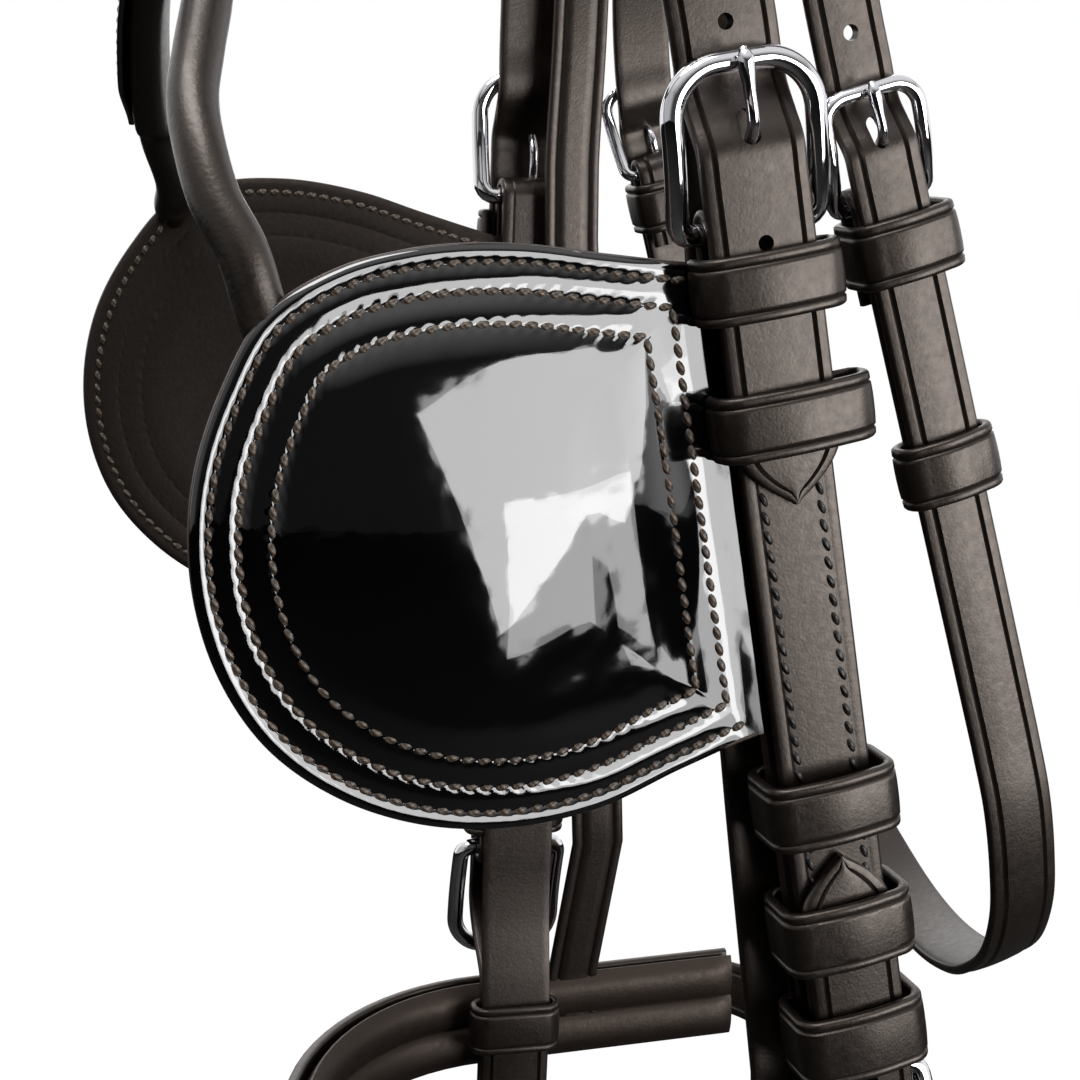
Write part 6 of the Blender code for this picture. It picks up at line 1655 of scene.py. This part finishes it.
class BRIDLE_OT_browband(bpy.types.Operator):
    """Bowed browband with its lining and the loops round the crown's ends"""
    bl_idname = "bridle.make_browband"
    bl_label = "Browband"

    def execute(self, context):
        middle = SEAT_HALF + PAD_T + 2 * CLEAR + HEAD_T + CROWN_T / 2
        inner_x = HEAD_IN + BROW_LOOP_ROOM * 2
        outer_x = middle + CROWN_T / 2 + BROW_LOOP_ROOM / 2
        face_x = outer_x + BROW_LOOP_T + CLEAR
        for side, name in SIDES:
            front, back = brow_edges(side)
            plan = rounded_loop((back - front) / 2, inner_x, outer_x, BROW_LOOP_T / 2, CLEAR * 3,
                                (front + back) / 2, 0.0)
            path = [Vector((side * x, y, BROW_Z)) for x, y in plan]
            bm = carry(keeper_section(BROW_W / 2, BROW_LOOP_T / 2), path, UP, closed=True, face_sign=-side)
            piece(name + "_brow_loop", bm, [name + "_browband_loop"])
        details = context.scene.bridle_sizes
        pattern = stitch_pattern()
        stitches = bmesh.new()
        path = self.bow(face_x + BROW_LINING_T + CLEAR + BROW_T / 2)
        bm = carry(strap_section(BROW_W / 2, BROW_T / 2, front=False, dome=0.5 * MM), path, UP, face_sign=1)
        piece("brow_patent", bm, ["browband"], "Patent leather")
        frames = path_frames(path, UP, face_sign=1)
        run = distances(path)
        for row in (-1, 1):
            line, normals = face_line(frames, 4.0 * MM, run[-1] - 4.0 * MM, run,
                                      row * (BROW_W / 2 - 3.0 * MM), BROW_T / 2 + 0.15 * MM)
            add_stitches(stitches, pattern, line, normals, details.blinker_pitch, details.thread_width * 0.9)
        piece("brow_stitches", stitches, (), "Thread lightened as sheen", smooth_deg=SMOOTH_THREAD)
        path = self.bow(face_x + BROW_LINING_T / 2)
        section = strap_section(BROW_W / 2, BROW_LINING_T / 2, front=False, dome=0.0)
        bm = carry(section, path, UP, face_sign=1)
        piece("brow_lining", bm, ["browband_lining"], "Lining leather")
        return {'FINISHED'}

    def bow(self, x):
        """The band's middle line: straight along each loop, then a deep bow in front."""
        ends = {side: brow_edges(side) for side in (NEAR, FAR)}
        level = min(ends[NEAR][0], ends[FAR][0])
        path = [Vector((x, ends[NEAR][1], BROW_Z)), Vector((x, (ends[NEAR][0] + ends[NEAR][1]) / 2, BROW_Z))]
        deep = BROW_FRONT + level + (x - SEAT_HALF)
        for i in range(49):
            angle = math.pi * i / 48
            bow = math.sin(angle)
            path.append(Vector((x * math.cos(angle), level - deep * bow, BROW_Z - BROW_DIP * bow ** 2)))
        path += [Vector((-x, (ends[FAR][0] + ends[FAR][1]) / 2, BROW_Z)), Vector((-x, ends[FAR][1], BROW_Z))]
        return even_steps(path)


class BRIDLE_OT_throatlatch(bpy.types.Operator):
    """Throatlatch strap, with a fixed keeper and a runner on each side"""
    bl_idname = "bridle.make_throatlatch"
    bl_label = "Throatlatch"

    def execute(self, context):
        sizes = THROAT_BUCKLE
        ends = {}
        for side, name in SIDES:
            matrix = throat_station(side)
            make_loop_keeper(name + "_throat_keeper", "bridle", matrix, sizes, -sizes.strap_face - CLEAR,
                             THROAT_KEEPER_ROOM, THROAT_KEEPER_TOP, THROAT_KEEPER_H, THROAT_KEEPER_T,
                             THROAT_KEEPER_OFF)
            make_loop_keeper(name + "_throat_runner", name + "_runner", matrix, sizes,
                             sizes.turn_x - sizes.strap_t / 2 - CLEAR, RUNNER_SIDE, RUNNER_TOP, RUNNER_H,
                             THROAT_KEEPER_T)
            local = [(-sizes.turn_x, -THROAT_TURN)] + arc_points(sizes.turn_x, 180, 0, 16)
            local += [(sizes.turn_x, -THROAT_STRAIGHT[side] * k / 3) for k in (1, 2, 3)]
            ends[side] = [matrix @ Vector((x, 0.0, z)) for x, z in local]
        free = [ends[NEAR][-1]] + [Vector(p) for p in THROAT_ROUTE] + [ends[FAR][-1]]
        path = ends[NEAR][:-1] + smooth_path(free) + list(reversed(ends[FAR][:-1]))
        path = even_steps(path)
        lean_near = math.radians(THROAT_LEAN_DEG[NEAR])
        lean_far = math.radians(THROAT_LEAN_DEG[FAR])

        def across(share):
            lean = lean_near + (lean_far - lean_near) * fade(share, 0.35, 0.72)
            return (0.0, math.cos(lean), math.sin(lean))

        bm = carry(strap_section(sizes.strap_w / 2, sizes.strap_t / 2), path, across)
        piece("throat_strap", bm, ["throatlatch_strap"], smooth_deg=SMOOTH_PUNCHED,
              holes=[turn_slot(throat_station(side), sizes) for side in (NEAR, FAR)])
        return {'FINISHED'}


class BRIDLE_OT_noseband(bpy.types.Operator):
    """Padded noseband, its outer strap and the chin strap"""
    bl_idname = "bridle.make_noseband"
    bl_label = "Noseband"

    def plan(self, offset, near_rear, far_rear):
        x = NOSE_HALF + offset
        path = [Vector((x, near_rear, NOSE_Z)), Vector((x, near_rear / 2, NOSE_Z))]
        for i in range(37):
            angle = math.pi * i / 36
            path.append(Vector((x * math.cos(angle), NOSE_FORE - (NOSE_FRONT + offset) * math.sin(angle),
                                NOSE_Z)))
        path += [Vector((-x, far_rear / 2, NOSE_Z)), Vector((-x, far_rear, NOSE_Z))]
        return even_steps(path)

    def execute(self, context):
        path = self.plan(NOSE_PAD_T / 2, NOSE_PAD_REAR, NOSE_REAR)
        bm = carry(pad_section(NOSE_W / 2, NOSE_PAD_T / 2, 2), path, UP, face_sign=1,
                   thick=lambda here, total: (0.45 + 0.55 * fade(min(here, total - here),
                                                                 -0.5 * MM, 4.0 * MM)))
        made = piece("nose_padding", bm, ["noseband_padding"], "Padding leather")
        sizes = NOSE_BUCKLE
        matrix = chin_station()
        bar = matrix.translation
        path = self.plan(NOSE_PAD_T + CLEAR + NOSE_STRAP_T / 2, NOSE_REAR - 2 * NOSE_TURN, NOSE_REAR)
        path.reverse()
        local = [(sizes.turn_x, -NOSE_TURN / 2)] + arc_points(sizes.turn_x, 0, 180, 16)
        local += [(-sizes.turn_x, -NOSE_TURN)]
        path += [Vector((bar.x + x, bar.y + z, NOSE_Z)) for x, z in local]
        path = even_steps(path)
        total = distances(path)[-1]
        narrow = 1 - (2.0 * NOSE_TURN + math.pi * sizes.turn_x + NOSE_TURN) / total

        def narrowed(here, end_share):
            return 1 + (end_share - 1) * fade(here / total, narrow - 0.06, narrow)

        bm = carry(strap_section(NOSE_W / 2, NOSE_STRAP_T / 2), path, UP,
                   width=lambda here, all_in: narrowed(here, NOSE_END_W / NOSE_W),
                   thick=lambda here, all_in: narrowed(here, sizes.strap_t / NOSE_STRAP_T))
        piece("nose_strap", bm, ["noseband_strap"], smooth_deg=SMOOTH_PUNCHED,
              holes=[turn_slot(matrix, sizes)])
        make_loop_keeper("noseband_keeper", "bridle", matrix, sizes, -sizes.strap_face - CLEAR,
                         KEEPER_SIDE / 2, THROAT_KEEPER_TOP, NOSE_KEEPER_END - THROAT_KEEPER_TOP,
                         THROAT_KEEPER_T)
        self.chin(matrix, bar, sizes)
        return {'FINISHED'}

    def chin(self, matrix, bar, sizes):
        local = [(sizes.under_x, 1.12 * sizes.top_z)] + list(reversed(billet_dip(sizes)))
        local += [(sizes.billet_x, FLAT_SHARE * sizes.top_z), (sizes.billet_x, -2.3 * NOSE_TURN)]
        end = [Vector((bar.x + x, bar.y + z, NOSE_Z)) for x, z in local]
        path = smooth_path([Vector(p) for p in CHIN_ROUTE] + end[:-1]) + [end[-1]]
        path = tip_steps(even_steps(path), SMALL_TIP_L)
        bm = carry(pointed_section(sizes.billet_w, sizes.billet_t, SMALL_TIP_L), path, UP)
        spare = punch_tool(matrix, sizes.billet_x, 0.0, tongue_hole_z(sizes) - HOLE_STEP * 0.8,
                           PUNCH_R, THIN_CUT)
        piece("chin_billet", bm, ["chin_strap"], smooth_deg=SMOOTH_PUNCHED,
              holes=[tongue_hole(matrix, sizes, THIN_CUT, 2.4 * MM), spare])


class BRIDLE_OT_buckles(bpy.types.Operator):
    """Chromed frames and tongues of every buckle"""
    bl_idname = "bridle.make_buckles"
    bl_label = "Buckles"

    def execute(self, context):
        for side, name in SIDES:
            for which, sizes, matrix in (("upper", CHEEK_BUCKLE, upper_station(side)),
                                         ("lower", BIT_BUCKLE, lower_station(side)),
                                         ("throat", THROAT_BUCKLE, throat_station(side))):
                self.buckle(f"{name}_{which}", sizes, matrix)
        self.buckle("stay", STAY_BUCKLE, stay_station())
        self.buckle("noseband", NOSE_BUCKLE, chin_station())
        return {'FINISHED'}

    def buckle(self, name, sizes, matrix):
        make_frame(name, sizes, matrix)
        make_tongue(name, name + "_tongue", sizes, matrix)


# Stage

CAMERA_PLACE = (471.91 * MM, -149.45 * MM, -170.42 * MM)
CAMERA_AXES = ((0.26955, 0.96299, 0.0), (-0.19318, 0.05407, 0.97967), (0.94341, -0.26407, 0.20060))
LENS_MM = 70.0
SENSOR_MM = 36.0
FLOOR_Z = -0.95
FLOOR_SIZE = 12.0
SHADOW_FROM, SHADOW_TO = 0.45, 0.95     # distances from the middle over which the shadow runs out
SHADOW_SHARE = 0.86             # how white the paper is to the camera under the bridle
CLIP_START = 0.02
ROOM_LIGHT = 0.055
WHITE_SIDES = (
    # axis of the direction, where white starts and is full, how white: behind, beside, window, ceiling
    ("X", 0.05, -0.45, 1.0), ("Y", -0.40, -0.75, 0.45), ("Y", 0.72, 0.90, 1.0), ("Z", 0.30, 0.70, 0.80),
)
LAMPS = (
    # name, place, aim, width, height, turn in its own plane, power
    ("Key softbox", (1.00, 1.036, -0.054), (0.00, 1.036, -0.054), 1.62, 0.62, 24.0, 19.0),
    ("Key fill", (1.01, 0.80, -0.52), (0.00, 0.80, -0.52), 0.68, 0.46, 0.0, 4.2),
    ("Top softbox", (0.25, -0.30, 0.90), (0.05, -0.05, -0.25), 0.95, 0.55, 0.0, 14.0),
    ("Far fill", (-0.90, 0.10, 0.25), (0.00, 0.00, -0.30), 0.70, 0.90, 0.0, 1.8),
)


class BRIDLE_OT_stage(bpy.types.Operator):
    """Floor, backdrop, lamps, world and camera"""
    bl_idname = "bridle.make_stage"
    bl_label = "Stage"

    def execute(self, context):
        bpy.ops.object.select_all(action='DESELECT')
        bpy.ops.mesh.primitive_plane_add(size=FLOOR_SIZE, location=(0.0, 0.0, FLOOR_Z))
        floor = bpy.context.active_object
        floor.name = "stage_floor"
        floor.data.materials.append(stage_material("Stage paper", context.scene.bridle_colours.floor))
        for name, place, aim, wide, high, turn, power in LAMPS:
            bpy.ops.object.light_add(type='AREA', location=place)
            lamp = bpy.context.active_object
            lamp.name = name
            lamp.data.shape = 'RECTANGLE'
            lamp.data.size = wide
            lamp.data.size_y = high
            lamp.data.energy = power
            facing = (Vector(aim) - Vector(place)).to_track_quat('-Z', 'Y').to_matrix()
            lamp.rotation_euler = (facing @ Matrix.Rotation(math.radians(turn), 3, 'Z')).to_euler()
        self.world(context)
        bpy.ops.object.camera_add(location=CAMERA_PLACE)
        camera = bpy.context.active_object
        camera.data.lens = LENS_MM
        camera.data.sensor_width = SENSOR_MM
        camera.data.clip_start = CLIP_START
        camera.rotation_euler = Matrix(CAMERA_AXES).transposed().to_euler()
        context.scene.camera = camera
        context.scene.view_settings.view_transform = 'Standard'
        return {'FINISHED'}

    def world(self, context):
        """White backdrop behind the object, for the camera and in the gloss, and a dim room before it."""
        world = context.scene.world or bpy.data.worlds.new("World")
        context.scene.world = world
        world.use_nodes = True
        tree = world.node_tree
        tree.nodes.clear()
        path = add_node(tree, 'ShaderNodeLightPath')
        place = add_node(tree, 'ShaderNodeTexCoord')
        axes = add_node(tree, 'ShaderNodeSeparateXYZ', None, {"Vector": (place, "Generated")})
        around = None
        for axis, start, full, level in WHITE_SIDES:
            part = add_node(tree, 'ShaderNodeMapRange',
                            {"From Min": start, "From Max": full, "To Min": 0.0, "To Max": level},
                            {"Value": (axes, axis)})
            if around:
                part = add_node(tree, 'ShaderNodeMath', {"operation": 'MAXIMUM'},
                                {0: (around, 0), 1: (part, 0)})
            around = part
        glossy = add_node(tree, 'ShaderNodeMath', {"operation": 'MULTIPLY'},
                          {0: (path, "Is Glossy Ray"), 1: (around, 0)})
        seen = add_node(tree, 'ShaderNodeMath', {"operation": 'MAXIMUM'},
                        {0: (path, "Is Camera Ray"), 1: (glossy, "Value")})
        white = add_node(tree, 'ShaderNodeBackground', {"Color": WHITE, "Strength": 1.0})
        room = add_node(tree, 'ShaderNodeBackground', {"Color": WHITE, "Strength": ROOM_LIGHT})
        mixed = add_node(tree, 'ShaderNodeMixShader', None,
                         {0: (seen, "Value"), 1: (room, "Background"), 2: (white, "Background")})
        add_node(tree, 'ShaderNodeOutputWorld', None, {"Surface": (mixed, "Shader")})


class BRIDLE_PT_panel(bpy.types.Panel):
    """The pieces of the bridle, one button each"""
    bl_label = "Driving bridle"
    bl_idname = "BRIDLE_PT_panel"
    bl_space_type = 'VIEW_3D'
    bl_region_type = 'UI'
    bl_category = "Bridle"

    def draw(self, context):
        for operator in PIECES:
            self.layout.operator(operator.bl_idname)
        for group in (context.scene.bridle_sizes, context.scene.bridle_colours):
            for key in group.__annotations__:
                self.layout.prop(group, key)


PIECES = (BRIDLE_OT_stage, BRIDLE_OT_crown, BRIDLE_OT_browband, BRIDLE_OT_cheeks, BRIDLE_OT_bit_straps,
          BRIDLE_OT_blinkers, BRIDLE_OT_stay, BRIDLE_OT_throatlatch, BRIDLE_OT_noseband, BRIDLE_OT_buckles)
CLASSES = (BridleSizes, BridleColours) + PIECES + (BRIDLE_PT_panel,)


def register():
    for made in CLASSES:
        bpy.utils.register_class(made)
    bpy.types.Scene.bridle_sizes = bpy.props.PointerProperty(type=BridleSizes)
    bpy.types.Scene.bridle_colours = bpy.props.PointerProperty(type=BridleColours)


def unregister():
    del bpy.types.Scene.bridle_colours
    del bpy.types.Scene.bridle_sizes
    for made in reversed(CLASSES):
        bpy.utils.unregister_class(made)


def main():
    register()
    for made in PIECES:
        getattr(bpy.ops.bridle, made.bl_idname.partition(".")[2])()


if __name__ == "__main__":
    main()
